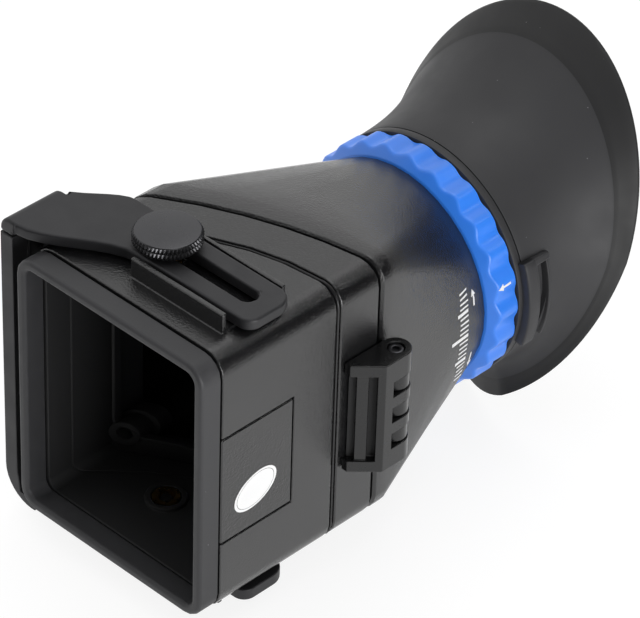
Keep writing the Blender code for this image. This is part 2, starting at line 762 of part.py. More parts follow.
def make_baffle_screws(body, material):
    for number, (ear_x, ear_z) in enumerate(ear_places(), 1):
        profile = screw_profile(screw_seat(ear_x) - SCREW_HEAD_HEIGHT, 1, BAFFLE_SCREW_LENGTH)
        mesh_data = turned(profile, SCREW_STEPS, (ear_x, ear_z), hollow=False)
        add_piece(f"baffle_screw_{number}", mesh_data, body, material)


def arm_plan(left_x):
    """Plan outline of a bracket arm: wide at the column, stepped back to the slotted plate."""
    front = []
    back = []
    for step in range(BEND_STEPS + 1):
        share = step / BEND_STEPS
        x = BEND_FRONT_START_X + (BEND_FRONT_END_X - BEND_FRONT_START_X) * share
        if x > left_x:
            front.append((x, COLUMN_FRONT_Y + (PLATE_FRONT_Y - COLUMN_FRONT_Y) * ease(share)))
        x = COLUMN_OUTER_X + (BEND_BACK_END_X - COLUMN_OUTER_X) * share
        if x > left_x:
            back.append((x, COLUMN_BACK_Y + (PLATE_BACK_Y - COLUMN_BACK_Y) * ease(share)))
    tip = plate_corner(PLATE_FRONT_CORNER, -90) + plate_corner(PLATE_BACK_CORNER, 0)
    return [(left_x, COLUMN_FRONT_Y)] + front + tip + back[::-1] + [(left_x, back_edge_y(left_x))]


def plate_corner(radius, start_deg):
    """One rounded corner at the plate's free end."""
    centre_y = PLATE_FRONT_Y + radius if start_deg else PLATE_BACK_Y - radius
    return plan_arc((PLATE_RIGHT_X - radius, centre_y), radius, start_deg, start_deg + 90)


def back_edge_y(x):
    share = (x - COLUMN_OUTER_X) / (BEND_BACK_END_X - COLUMN_OUTER_X)
    return COLUMN_BACK_Y + (PLATE_BACK_Y - COLUMN_BACK_Y) * ease(share)


def slot_cutter(side):
    """Long slot with round ends, along which the thumb screw's stud runs."""
    radius = SLOT_WIDTH / 2
    outline = plan_arc((SLOT_RIGHT_X, PLATE_CENTRE_Y), radius, -90, 90)
    outline += plan_arc((SLOT_LEFT_X, PLATE_CENTRE_Y), radius, 90, 270)
    ends = sorted((side * (ARM_UNDER_Z - CUT_OVERRUN), side * (ARM_TOP_Z + CUT_OVERRUN)))
    return plate(outline, ends[0], ends[1])


def make_bracket_frame(body, material):
    """Column of the U bracket, bent at the bottom into the lower arm."""
    bend_x = COLUMN_OUTER_X + COLUMN_BOTTOM_RADIUS
    bend_z = -ARM_TOP_Z + COLUMN_BOTTOM_RADIUS
    inner_radius = COLUMN_BOTTOM_RADIUS - COLUMN_THICKNESS
    outer = plan_arc((bend_x, bend_z), COLUMN_BOTTOM_RADIUS, 180, 270)
    inner = plan_arc((bend_x, bend_z), inner_radius, 270, 180)
    stem_z = -ARM_UNDER_Z
    joint_z = COLUMN_JOINT_Z - SEAT_GAP
    arm_x = bend_x + FUSE_DEPTH
    profile = [(COLUMN_OUTER_X, joint_z)] + outer + [(arm_x, -ARM_TOP_Z), (arm_x, stem_z)]
    profile += [(x, min(z, stem_z) if z < bend_z - inner_radius / 2 else z) for x, z in inner]
    profile += [(COLUMN_INNER_X, joint_z)]
    ends = (COLUMN_FRONT_Y, COLUMN_BACK_Y)
    frame = add_piece(
        "bracket_frame", capped_loft([[(x, y, z) for x, z in profile] for y in ends]), body, material
    )
    join(frame, plate(arm_plan(bend_x), -ARM_TOP_Z, -ARM_UNDER_Z), body)
    cut(frame, slot_cutter(-1), body)
    recess_low = (COLUMN_INNER_X - TAB_THICKNESS - SEAT_GAP, TAB_FRONT_Y - SEAT_GAP, joint_z - TAB_LENGTH)
    recess_high = (COLUMN_INNER_X + CUT_OVERRUN, TAB_FRONT_Y + TAB_WIDTH + SEAT_GAP, joint_z + CUT_OVERRUN)
    cut(frame, block(recess_low, recess_high), body)
    for height in tab_screw_heights():
        hole = SCREW_RADIUS + SCREW_HOLE_GAP
        hole_end = COLUMN_INNER_X - TAB_SCREW_LENGTH - SEAT_GAP
        cut(frame, sideways([(hole, COLUMN_INNER_X + CUT_OVERRUN), (hole, hole_end)],
                            (tab_middle_y(), height), SCREW_STEPS), body)


def tab_middle_y():
    return TAB_FRONT_Y + TAB_WIDTH / 2


def tab_screw_heights():
    return [COLUMN_JOINT_Z - TAB_SCREW_DROP, COLUMN_JOINT_Z - TAB_SCREW_DROP + TAB_SCREW_PITCH / 2]


def make_bracket_top_arm(body, material):
    """Upper arm, a separate plate whose tab is screwed to the inside of the column."""
    arm = add_piece(
        "bracket_top_arm", plate(arm_plan(COLUMN_INNER_X), ARM_UNDER_Z, ARM_TOP_Z), body, material
    )
    corner = plan_arc(
        (COLUMN_OUTER_X + COLUMN_TOP_RADIUS, ARM_TOP_Z - COLUMN_TOP_RADIUS), COLUMN_TOP_RADIUS, 180, 90
    )
    foot_x = COLUMN_INNER_X + FUSE_DEPTH
    profile = [(COLUMN_OUTER_X, COLUMN_JOINT_Z)] + corner
    profile += [(foot_x, ARM_TOP_Z), (foot_x, ARM_UNDER_Z)]
    profile += [(COLUMN_INNER_X, ARM_UNDER_Z), (COLUMN_INNER_X, COLUMN_JOINT_Z)]
    ends = (COLUMN_FRONT_Y, COLUMN_BACK_Y)
    join(arm, capped_loft([[(x, y, z) for x, z in profile] for y in ends]), body)
    tab_low = (COLUMN_INNER_X - TAB_THICKNESS, TAB_FRONT_Y, COLUMN_JOINT_Z - TAB_LENGTH)
    tab_high = (COLUMN_INNER_X, TAB_FRONT_Y + TAB_WIDTH, ARM_UNDER_Z + FUSE_DEPTH)
    join(arm, block(tab_low, tab_high), body)
    cut(arm, slot_cutter(1), body)
    for height in tab_screw_heights():
        hole = SCREW_RADIUS + SCREW_HOLE_GAP
        ends = (COLUMN_INNER_X + CUT_OVERRUN, COLUMN_INNER_X - TAB_THICKNESS - CUT_OVERRUN / 2)
        cut(arm, sideways([(hole, ends[0]), (hole, ends[1])], (tab_middle_y(), height), SCREW_STEPS), body)


def make_bracket_screws(body, material):
    for number, height in enumerate(tab_screw_heights(), 1):
        head_x = COLUMN_INNER_X + SEAT_GAP + SCREW_HEAD_HEIGHT
        profile = screw_profile(head_x, -1, TAB_SCREW_LENGTH)
        mesh_data = sideways(profile, (tab_middle_y(), height), SCREW_STEPS)
        add_piece(f"bracket_screw_{number}", mesh_data, body, material)


def knurled(radius, height, phase):
    """One ring of a knurled rim, its ridges turned by a share of their pitch."""
    points = []
    for index in range(2 * KNURLS):
        angle = math.pi * (index + phase) / KNURLS
        reach = radius - (KNURL_DEPTH if index % 2 else 0)
        points.append((reach * math.cos(angle), reach * math.sin(angle), height))
    return points


def make_thumb_screw(name, side, body, material):
    """Knurled head, shoulder and stud, on the top or the bottom of the loupe."""
    base = ARM_TOP_Z + SEAT_GAP + THUMB_SHOULDER
    heights = (base, base + THUMB_EASE, base + THUMB_HEIGHT / 2, base + THUMB_HEIGHT - THUMB_EASE)
    rings = [knurled(THUMB_RADIUS - THUMB_EASE, base, 0)]
    rings += [knurled(THUMB_RADIUS, height, phase) for height, phase in zip(heights[1:], (0, 1, 0))]
    inner = THUMB_RADIUS - KNURL_DEPTH - THUMB_EASE
    rings.append([(x * inner / THUMB_RADIUS, y * inner / THUMB_RADIUS, THUMB_TOP_Z)
                  for x, y, _ in knurled(THUMB_RADIUS + KNURL_DEPTH / 2, 0, 0)])
    centre = Vector((THUMB_X, PLATE_CENTRE_Y, 0))
    placed = [[(x + centre.x, y + centre.y, side * z) for x, y, z in ring] for ring in rings]
    screw = add_piece(name, capped_loft(placed), body, material)
    stem = [
        (THUMB_SHOULDER_RADIUS, side * (base + FUSE_DEPTH)),
        (THUMB_SHOULDER_RADIUS, side * (ARM_TOP_Z + SEAT_GAP)),
        (STUD_RADIUS, side * (ARM_TOP_Z + SEAT_GAP)),
        (STUD_RADIUS, side * (ARM_TOP_Z - STUD_LENGTH + EDGE_EASE)),
        (STUD_RADIUS - EDGE_EASE, side * (ARM_TOP_Z - STUD_LENGTH)),
    ]
    join(screw, upright(stem, centre, SMALL_STEPS), body)


def make_insert(name, side, body, material):
    """Threaded brass insert in the boss of the box."""
    top = SHELL_TOP_Z - SEAT_GAP
    foot = top - INSERT_LENGTH
    profile = [
        (INSERT_RADIUS, side * top),
        (INSERT_RADIUS, side * foot),
        (INSERT_BORE_RADIUS, side * foot),
        (INSERT_BORE_RADIUS, side * top),
    ]
    centre = (THUMB_X, PLATE_CENTRE_Y)
    add_piece(name, upright(profile, centre, ROUND_STEPS // 2, hollow=True), body, material)


def leaf_plan():
    """Plan of the fixed leaf: foot on the wall, bevelled face, flat side, round barrel."""
    barrel = plan_arc((PIN_X, PIN_Y), BARREL_RADIUS, 0, 180, 2 * BEND_STEPS)
    barrel = [point for point in barrel if point[0] > LEAF_BASE_X]
    return [
        (LEAF_BASE_X, LEAF_FRONT_Y),
        (BEVEL_START_X, LEAF_FRONT_Y),
        (LEAF_OUTER_X, BEVEL_END_Y),
    ] + barrel + [(LEAF_BASE_X, PIN_Y)]


def window_heights():
    return [WINDOW_TOP_Z - WINDOW_PITCH * index for index in range(3)]


def bevel_block(from_along, to_along, depth):
    """A box let into the bevelled face, between two places along it."""
    start = Vector((BEVEL_START_X, LEAF_FRONT_Y))
    along = (Vector((LEAF_OUTER_X, BEVEL_END_Y)) - start).normalized()
    outward = Vector((along.y, -along.x))
    corners = [(from_along, -depth), (from_along, CUT_OVERRUN), (to_along, CUT_OVERRUN), (to_along, -depth)]
    outline = [start + along * place + outward * reach for place, reach in corners]
    return plate([(point.x, point.y) for point in outline], -POCKET_HALF_HEIGHT, POCKET_HALF_HEIGHT)


def make_fixed_leaf(body, material):
    """Outer hinge leaf on the box, with three windows for the knuckles of the other leaf."""
    leaf = add_piece(
        "hinge_fixed_leaf", plate(leaf_plan(), -HINGE_HALF_HEIGHT, HINGE_HALF_HEIGHT), body, material
    )
    for height in window_heights():
        low = (LEAF_BASE_X - CUT_OVERRUN, WINDOW_FRONT_Y, height - WINDOW_HEIGHT / 2)
        high = (LEAF_OUTER_X + CUT_OVERRUN, PIN_Y + BARREL_RADIUS + CUT_OVERRUN, height + WINDOW_HEIGHT / 2)
        cut(leaf, block(low, high), body)
    bore = PIN_RADIUS + PIN_HOLE_GAP
    sink = PIN_HEAD_RADIUS + PIN_HOLE_GAP
    floor = HINGE_HALF_HEIGHT - PIN_HEAD_HEIGHT - SEAT_GAP
    profile = [
        (bore, -HINGE_HALF_HEIGHT - CUT_OVERRUN),
        (bore, floor),
        (sink, floor),
        (sink, HINGE_HALF_HEIGHT + CUT_OVERRUN),
    ]
    cut(leaf, upright(profile, (PIN_X, PIN_Y), SMALL_STEPS), body)
    bar_end = POCKET_BAR_START + POCKET_BAR_WIDTH
    for start, end in ((-CUT_OVERRUN, POCKET_BAR_START), (bar_end, POCKET_LENGTH)):
        cut(leaf, bevel_block(start, end, POCKET_DEPTH), body)
    cut(leaf, bevel_block(-CUT_OVERRUN, POCKET_LENGTH, POCKET_BAR_DROP), body)
    for side in (1, -1):
        hole = SCREW_RADIUS + SCREW_HOLE_GAP
        ends = (LEAF_BASE_X - CUT_OVERRUN, SHELL_SIDE_X - SHELL_WALL + FIXED_SCREW_LENGTH)
        cut(leaf, sideways([(hole, ends[0]), (hole, ends[1])],
                           (FIXED_SCREW_Y, side * FIXED_SCREW_Z), SCREW_STEPS), body)


def make_moving_leaf(body, material):
    """Inner hinge leaf on the lens cone: a side plate with three knuckles round the pin."""
    plate_x = LEAF_BASE_X + LEAF_PLATE_THICKNESS
    start_y = PIN_Y + RUN_GAP
    outline = [(LEAF_BASE_X, start_y), (plate_x, start_y)]
    outline += [(plate_x, LEAF_PLATE_BACK_Y - LEAF_PLATE_THICKNESS)]
    outline += [(LEAF_BASE_X - LEAF_PLATE_LEAN, LEAF_PLATE_BACK_Y)]
    middle = WINDOW_TOP_Z - WINDOW_PITCH
    low, high = middle - LEAF_PLATE_HALF_HEIGHT, middle + LEAF_PLATE_HALF_HEIGHT
    leaf = add_piece("hinge_moving_leaf", plate(outline, low, high), body, material)
    sweep = BARREL_RADIUS + RUN_GAP
    ends = (low - CUT_OVERRUN, high + CUT_OVERRUN)
    cut(leaf, upright([(sweep, ends[0]), (sweep, ends[1])], (PIN_X, PIN_Y), 2 * SMALL_STEPS), body)
    half = WINDOW_HEIGHT / 2 - KNUCKLE_PLAY
    for height in window_heights():
        knuckle = plan_arc((PIN_X, PIN_Y), KNUCKLE_RADIUS, -150, 75, 2 * BEND_STEPS)
        web_x = plate_x - FUSE_DEPTH
        web = [(web_x, PIN_Y + sweep + FUSE_DEPTH), (web_x, start_y + FUSE_DEPTH)]
        join(leaf, plate(knuckle + web, height - half, height + half), body)
    bore = PIN_RADIUS + PIN_HOLE_GAP
    cut(leaf, upright([(bore, ends[0]), (bore, ends[1])], (PIN_X, PIN_Y), SMALL_STEPS), body)
    for side in (1, -1):
        hole = SCREW_RADIUS + SCREW_HOLE_GAP
        ends = (LEAF_BASE_X - CUT_OVERRUN, SHELL_SIDE_X - MOVING_SCREW_SEAT + MOVING_SCREW_LENGTH)
        cut(leaf, sideways([(hole, ends[0]), (hole, ends[1])],
                           (MOVING_SCREW_Y, side * MOVING_SCREW_Z), SCREW_STEPS), body)


def make_hinge_pin(body, material):
    """Pin with a sunk head, through both leaves."""
    top = HINGE_HALF_HEIGHT
    profile = [
        (PIN_RADIUS, -HINGE_HALF_HEIGHT + EDGE_EASE),
        (PIN_RADIUS, top - PIN_HEAD_HEIGHT),
        (PIN_HEAD_RADIUS, top - PIN_HEAD_HEIGHT),
        (PIN_HEAD_RADIUS, top - EDGE_EASE / 2),
    ]
    add_piece("hinge_pin", upright(profile, (PIN_X, PIN_Y), SMALL_STEPS), body, material)


def make_hinge_screws(names, place, seat, length, body, material):
    """Two screws from inside a wall into the hinge leaf outside it, at place (y, z)."""
    head_x = SHELL_SIDE_X - seat - SEAT_GAP - SCREW_HEAD_HEIGHT
    for name, side in zip(names, (1, -1)):
        profile = screw_profile(head_x, 1, length)
        mesh_data = sideways(profile, (place[0], side * place[1]), SCREW_STEPS)
        add_piece(name, mesh_data, body, material)


def cone_ring(share, inset, end_y, end_radius):
    """One ring of the cone's loft from the rounded box to the round end."""
    outline = blend_outlines(shell_outline(inset), box_circle(end_radius), share)
    box_points = ring_at(shell_outline(inset), fold_arc)
    return [
        (x, depth + (end_y - depth) * share, z)
        for (x, z), (_, depth, _) in zip(outline, box_points)
    ]


def make_cone_housing(body, material):
    """Lens housing: a shoulder that follows the split, then a loft from box to circle."""
    front = shifted(split_arc, SPLIT_GAP / 2)
    rings = [
        ring_at(shell_outline(EDGE_EASE), front),
        ring_at(shell_outline(0), shifted(front, EDGE_EASE)),
    ]
    rings += [cone_ring(step / CONE_STEPS, 0, CONE_END_Y, CONE_END_RADIUS) for step in range(CONE_STEPS + 1)]
    shelf_back = SHELF_Y + SHELF_THICKNESS
    rings += [
        ring_at(box_circle(CONE_BORE_RADIUS), CONE_END_Y),
        ring_at(box_circle(CONE_BORE_RADIUS), shelf_back),
        ring_at(box_circle(SHELF_BORE_RADIUS), shelf_back),
        ring_at(box_circle(SHELF_BORE_RADIUS), SHELF_Y),
    ]
    for step in range(CONE_STEPS, -1, -1):
        rings.append(cone_ring(step / CONE_STEPS, CONE_WALL, SHELF_Y, CONE_BORE_RADIUS))
    rings.append(ring_at(shell_outline(CONE_WALL), front))
    cone = add_piece("cone_housing", closed_loop(rings), body, material)
    for angle in TUBE_SCREW_ANGLES_DEG:
        hole = SCREW_RADIUS + SCREW_HOLE_GAP
        ends = (SHELF_Y - CUT_OVERRUN, shelf_back + CUT_OVERRUN)
        cut(cone, turned([(hole, ends[0]), (hole, ends[1])], SCREW_STEPS,
                         on_circle(TUBE_SCREW_CIRCLE, angle), hollow=False), body)
    for side in (1, -1):
        cut(cone, side_screw_hole(MOVING_SCREW_Y, side * MOVING_SCREW_Z), body)


def on_circle(radius, angle_deg):
    angle = math.radians(angle_deg)
    return EYE_X + radius * math.cos(angle), EYE_Z + radius * math.sin(angle)


def make_tube_screws(body, material):
    for number, angle in enumerate(TUBE_SCREW_ANGLES_DEG, 1):
        head_y = SHELF_Y - SEAT_GAP - SCREW_HEAD_HEIGHT
        length = SHELF_THICKNESS + TUBE_FLANGE_THICKNESS + SEAT_GAP - TUBE_SCREW_SKIN
        profile = screw_profile(head_y, 1, length)
        mesh_data = turned(profile, SCREW_STEPS, on_circle(TUBE_SCREW_CIRCLE, angle), hollow=False)
        add_piece(f"tube_screw_{number}", mesh_data, body, material)


def make_eyepiece_tube(body, material):
    """Fixed tube with a front flange and three straight slots for the guide pins."""
    flange_back = TUBE_FLANGE_Y + TUBE_FLANGE_THICKNESS
    flange_radius = CONE_BORE_RADIUS - SEAT_GAP
    profile = [
        (TUBE_BORE_RADIUS, TUBE_FLANGE_Y),
        (flange_radius, TUBE_FLANGE_Y),
        (flange_radius, flange_back),
        (TUBE_RADIUS, flange_back),
        (TUBE_RADIUS, TUBE_END_Y),
        (TUBE_BORE_RADIUS, TUBE_END_Y),
    ]
    tube = add_piece("eyepiece_tube", turned(profile), body, material)
    half_width = GUIDE_PIN_RADIUS + GUIDE_SLOT_GAP
    half_length = LENS_HALF_TRAVEL + half_width
    for angle in GUIDE_ANGLES_DEG:
        low = (TUBE_BORE_RADIUS - FUSE_DEPTH, GUIDE_PIN_Y - half_length, -half_width)
        high = (TUBE_RADIUS + CUT_OVERRUN, GUIDE_PIN_Y + half_length, half_width)
        cut(tube, spin(block(low, high), angle), body)
    for angle in TUBE_SCREW_ANGLES_DEG:
        hole = SCREW_RADIUS + SCREW_HOLE_GAP
        ends = (TUBE_FLANGE_Y - CUT_OVERRUN, flange_back - TUBE_SCREW_SKIN)
        cut(tube, turned([(hole, ends[0]), (hole, ends[1])], SCREW_STEPS,
                         on_circle(TUBE_SCREW_CIRCLE, angle), hollow=False), body)


def scalloped(radius, depth, wave):
    """One ring of the focusing ring's grip, its points on both sides of each crest and hollow."""
    count = WAVES * WAVE_STEPS
    points = []
    for index in range(count):
        angle = 2 * math.pi * (index + 0.5) / count
        reach = radius - wave / 2 + wave / 2 * math.cos(WAVES * angle)
        points.append(on_axis(reach * math.cos(angle), depth, reach * math.sin(angle)))
    return points


def helical_slot(angle_deg):
    """Cutter that follows the helix of one guide pin through the ring's sleeve."""
    middle_radius = (SLEEVE_RADIUS + SLEEVE_BORE_RADIUS) / 2
    slope = math.atan(HELIX_RISE / middle_radius)
    half_width = (GUIDE_PIN_RADIUS + GUIDE_SLOT_GAP) / math.cos(slope)
    reach = math.radians(RING_HALF_TURN_DEG) + (GUIDE_PIN_RADIUS + 2 * GUIDE_SLOT_GAP) / SLEEVE_BORE_RADIUS
    inner, outer = SLEEVE_BORE_RADIUS - FUSE_DEPTH, SLEEVE_RADIUS + FUSE_DEPTH
    corners = ((inner, -half_width), (outer, -half_width), (outer, half_width), (inner, half_width))
    rings = []
    for step in range(SLOT_TURNS + 1):
        turn = reach * (2 * step / SLOT_TURNS - 1)
        angle = math.radians(angle_deg) + turn
        depth = GUIDE_PIN_Y + HELIX_RISE * turn
        rings.append([
            on_axis(radius * math.cos(angle), depth + offset, radius * math.sin(angle))
            for radius, offset in corners
        ])
    return capped_loft(rings)


def make_diopter_ring(body, material):
    """Scalloped focusing ring with a hidden sleeve, cut by three helical slots."""
    bevel_y = RING_START_Y + RING_BEVEL
    rings = [
        scalloped(SLEEVE_BORE_RADIUS, SLEEVE_START_Y, 0),
        scalloped(SLEEVE_RADIUS, SLEEVE_START_Y, 0),
        scalloped(SLEEVE_RADIUS, RING_START_Y, 0),
        scalloped(RING_FRONT_RADIUS, RING_START_Y, 0),
        scalloped(RING_RADIUS - RING_WAVE_DEPTH, bevel_y - EDGE_EASE, RING_WAVE_DEPTH / 2),
        scalloped(RING_RADIUS, bevel_y + EDGE_EASE, RING_WAVE_DEPTH),
        scalloped(RING_RADIUS, RING_END_Y - EDGE_EASE, RING_WAVE_DEPTH),
        scalloped(RING_RADIUS - EDGE_EASE, RING_END_Y, RING_WAVE_DEPTH),
        scalloped(SLEEVE_BORE_RADIUS, RING_END_Y, 0),
    ]
    ring = add_piece("diopter_ring", closed_loop(rings), body, material)
    for angle in GUIDE_ANGLES_DEG:
        cut(ring, helical_slot(angle), body)


def make_lens_cell(body, material):
    """Sliding cell with a front lip, bored for three guide pins."""
    lip_back = CELL_START_Y + CELL_LIP_THICKNESS
    profile = [
        (CELL_LIP_RADIUS, CELL_START_Y),
        (CELL_RADIUS, CELL_START_Y),
        (CELL_RADIUS, CELL_END_Y),
        (CELL_BORE_RADIUS, CELL_END_Y),
        (CELL_BORE_RADIUS, lip_back),
        (CELL_LIP_RADIUS, lip_back),
    ]
    cell = add_piece("lens_cell", turned(profile), body, material)
    for angle in GUIDE_ANGLES_DEG:
        cut(cell, radial_pin(angle, GUIDE_PIN_RADIUS + GUIDE_SLOT_GAP,
                             CELL_RADIUS - GUIDE_PIN_SINK - GUIDE_SLOT_GAP, CELL_RADIUS + CUT_OVERRUN), body)


def radial_pin(angle_deg, radius, inner, outer):
    """A small cylinder that points away from the optical axis."""
    pin = sideways([(radius, inner), (radius, outer)], (GUIDE_PIN_Y, 0), SCREW_STEPS)
    return spin(pin, angle_deg)


def make_guide_pins(body, material):
    for number, angle in enumerate(GUIDE_ANGLES_DEG, 1):
        ends = (CELL_RADIUS - GUIDE_PIN_SINK, SLEEVE_RADIUS - SEAT_GAP)
        mesh_data = radial_pin(angle, GUIDE_PIN_RADIUS, ends[0], ends[1])
        add_piece(f"guide_pin_{number}", mesh_data, body, material)


def make_lens(name, front_y, edge, crown, body, material):
    """Biconvex lens with a straight edge."""
    profile = []
    for step in range(1, LENS_RINGS + 1):
        share = step / LENS_RINGS
        profile.append((LENS_RADIUS * share, front_y + crown * share**2))
    middle = front_y + crown + edge / 2
    rear = [(radius, middle + (middle - depth)) for radius, depth in reversed(profile)]
    add_piece(name, turned(profile + rear, hollow=False), body, material)


def make_lens_stack(body, glass, black):
    """Both lenses, the spacer between them and the ring that holds them in."""
    y = CELL_START_Y + CELL_LIP_THICKNESS + SEAT_GAP
    crown_room = FRONT_LENS_CROWN * (1 - (CELL_LIP_RADIUS / LENS_RADIUS) ** 2)
    make_lens("front_lens", y - FRONT_LENS_CROWN + crown_room, FRONT_LENS_EDGE, FRONT_LENS_CROWN, body, glass)
    y += FRONT_LENS_EDGE + crown_room + crown_room + SEAT_GAP
    spacer = [
        (LENS_RADIUS - SPACER_WALL, y),
        (LENS_RADIUS, y),
        (LENS_RADIUS, y + SPACER_LENGTH),
        (LENS_RADIUS - SPACER_WALL, y + SPACER_LENGTH),
    ]
    add_piece("lens_spacer", turned(spacer), body, black)
    y += SPACER_LENGTH + SEAT_GAP
    crown_room = REAR_LENS_CROWN * (1 - ((LENS_RADIUS - SPACER_WALL) / LENS_RADIUS) ** 2)
    make_lens("rear_lens", y - REAR_LENS_CROWN + crown_room, REAR_LENS_EDGE, REAR_LENS_CROWN, body, glass)
    y += REAR_LENS_EDGE + crown_room + crown_room + SEAT_GAP
    retainer = [
        (RETAINER_BORE_RADIUS, y),
        (LENS_RADIUS, y),
        (LENS_RADIUS, y + RETAINER_LENGTH),
        (RETAINER_BORE_RADIUS + RETAINER_LENGTH / 2, y + RETAINER_LENGTH),
    ]
    add_piece("retaining_ring", turned(retainer), body, black)


def make_eyecup_mount(body, material):
    """Ring on the end of the eyepiece tube, on which the eyecup turns."""
    bore = TUBE_RADIUS + SEAT_GAP
    profile = [(bore, MOUNT_Y), (MOUNT_RADIUS, MOUNT_Y), (MOUNT_RADIUS, MOUNT_END_Y), (bore, MOUNT_END_Y)]
    add_piece("eyecup_mount", turned(profile), body, material)


def cup_section(share, inset, slide=0.0):
    """One ring of the eyecup's flare, from the round neck to the slanted oval rim."""
    spread = share**FLARE_POWER
    neck_y = CUP_SEAM_Y + CUP_SEAM_WIDTH
    half_width = CUP_NECK_RADIUS + (RIM_HALF_WIDTH - CUP_NECK_RADIUS) * spread - inset
    half_height = CUP_NECK_RADIUS + (RIM_HALF_HEIGHT - CUP_NECK_RADIUS) * spread - inset
    depth = neck_y + (RIM_Y - neck_y) * share + slide
    ring = []
    for x, z in circle(1, CUP_STEPS):
        height = RIM_LIFT * share + half_height * z
        across = RIM_SHIFT * share + half_width * x
        ring.append(on_axis(across, depth + RIM_SLOPE * share * half_height * z, height))
    return ring


def cup_circle(radius, depth):
    return [on_axis(x, depth, z) for x, z in circle(radius, CUP_STEPS)]


def make_eyecup(body, material):
    """Rubber eyecup: gripping collar, flared body, broad rim band and a moulded lug."""
    seam_radius = CUP_NECK_RADIUS - CUP_SEAM_DEPTH
    rings = [
        cup_circle(CUP_NECK_RADIUS - EDGE_EASE, CUP_START_Y),
        cup_circle(CUP_NECK_RADIUS, CUP_START_Y + EDGE_EASE),
        cup_circle(CUP_NECK_RADIUS, CUP_SEAM_Y - CUP_SEAM_WIDTH),
        cup_circle(seam_radius, CUP_SEAM_Y),
    ]
    band_share = 1 - RIM_BAND / (RIM_Y - CUP_SEAM_Y)
    rings += [cup_section(band_share * step / FLARE_STEPS, 0) for step in range(FLARE_STEPS + 1)]
    rings += [
        cup_section(1, CUP_WALL / 2, -CUP_WALL),
        cup_section(1, 0),
        cup_section(1, CUP_WALL / 2, CUP_WALL / 2),
        cup_section(1, CUP_WALL, 0),
        cup_section(1, RIM_TURN_IN, -RIM_TURN_IN / 2),
    ]
    rings += [cup_section(band_share * step / FLARE_STEPS, CUP_WALL) for step in range(FLARE_STEPS, 1, -2)]
    lip_back = CUP_LIP_Y + CUP_LIP_THICKNESS
    rings += [
        cup_circle(CUP_NECK_RADIUS - 2 * CUP_WALL, lip_back + CUP_WALL),
        cup_circle(CUP_LIP_RADIUS, lip_back),
        cup_circle(CUP_LIP_RADIUS, CUP_LIP_Y),
        cup_circle(MOUNT_RADIUS + SEAT_GAP, CUP_LIP_Y),
        cup_circle(MOUNT_RADIUS + SEAT_GAP, CUP_START_Y),
    ]
    cup = add_piece("eyecup", closed_loop(rings), body, material)
    add_lug(cup, body)


def lug_sector(angles, radii, depths):
    """A block bent round the optical axis, between two angles, two radii and two depths."""
    rings = []
    for step in range(LUG_STEPS + 1):
        angle = angles[0] + (angles[1] - angles[0]) * step / LUG_STEPS
        corners = ((radii[0], depths[0]), (radii[1], depths[0]), (radii[1], depths[1]), (radii[0], depths[1]))
        rings.append([
            on_axis(radius * math.cos(angle), depth, radius * math.sin(angle)) for radius, depth in corners
        ])
    return capped_loft(rings)


def add_lug(cup, body):
    """Raised pull lug beside the collar, with a slot behind and below its plate."""
    outer = CUP_NECK_RADIUS + LUG_STAND
    low = math.radians(LUG_ANGLE_DEG - LUG_HALF_ANGLE_DEG)
    high = math.radians(LUG_ANGLE_DEG + LUG_HALF_ANGLE_DEG)
    front_y = CUP_SEAM_Y + CUP_SEAM_WIDTH
    back_y = front_y + LUG_WIDTH
    join(cup, lug_sector((low, high), (CUP_NECK_RADIUS - CUP_WALL, outer), (front_y, back_y)), body)
    radii = (CUP_NECK_RADIUS - CUP_SEAM_DEPTH, outer + CUT_OVERRUN)
    slot_low = low + LUG_RIM / outer
    slot_back = back_y - LUG_RIM
    behind = (slot_low, high - LUG_TOP_MARGIN / outer)
    below = (slot_low, slot_low + LUG_SLOT_WIDTH / outer)
    cut(cup, lug_sector(behind, radii, (slot_back - LUG_SLOT_WIDTH, slot_back)), body)
    cut(cup, lug_sector(below, radii, (front_y + LUG_FRONT_MARGIN, slot_back)), body)


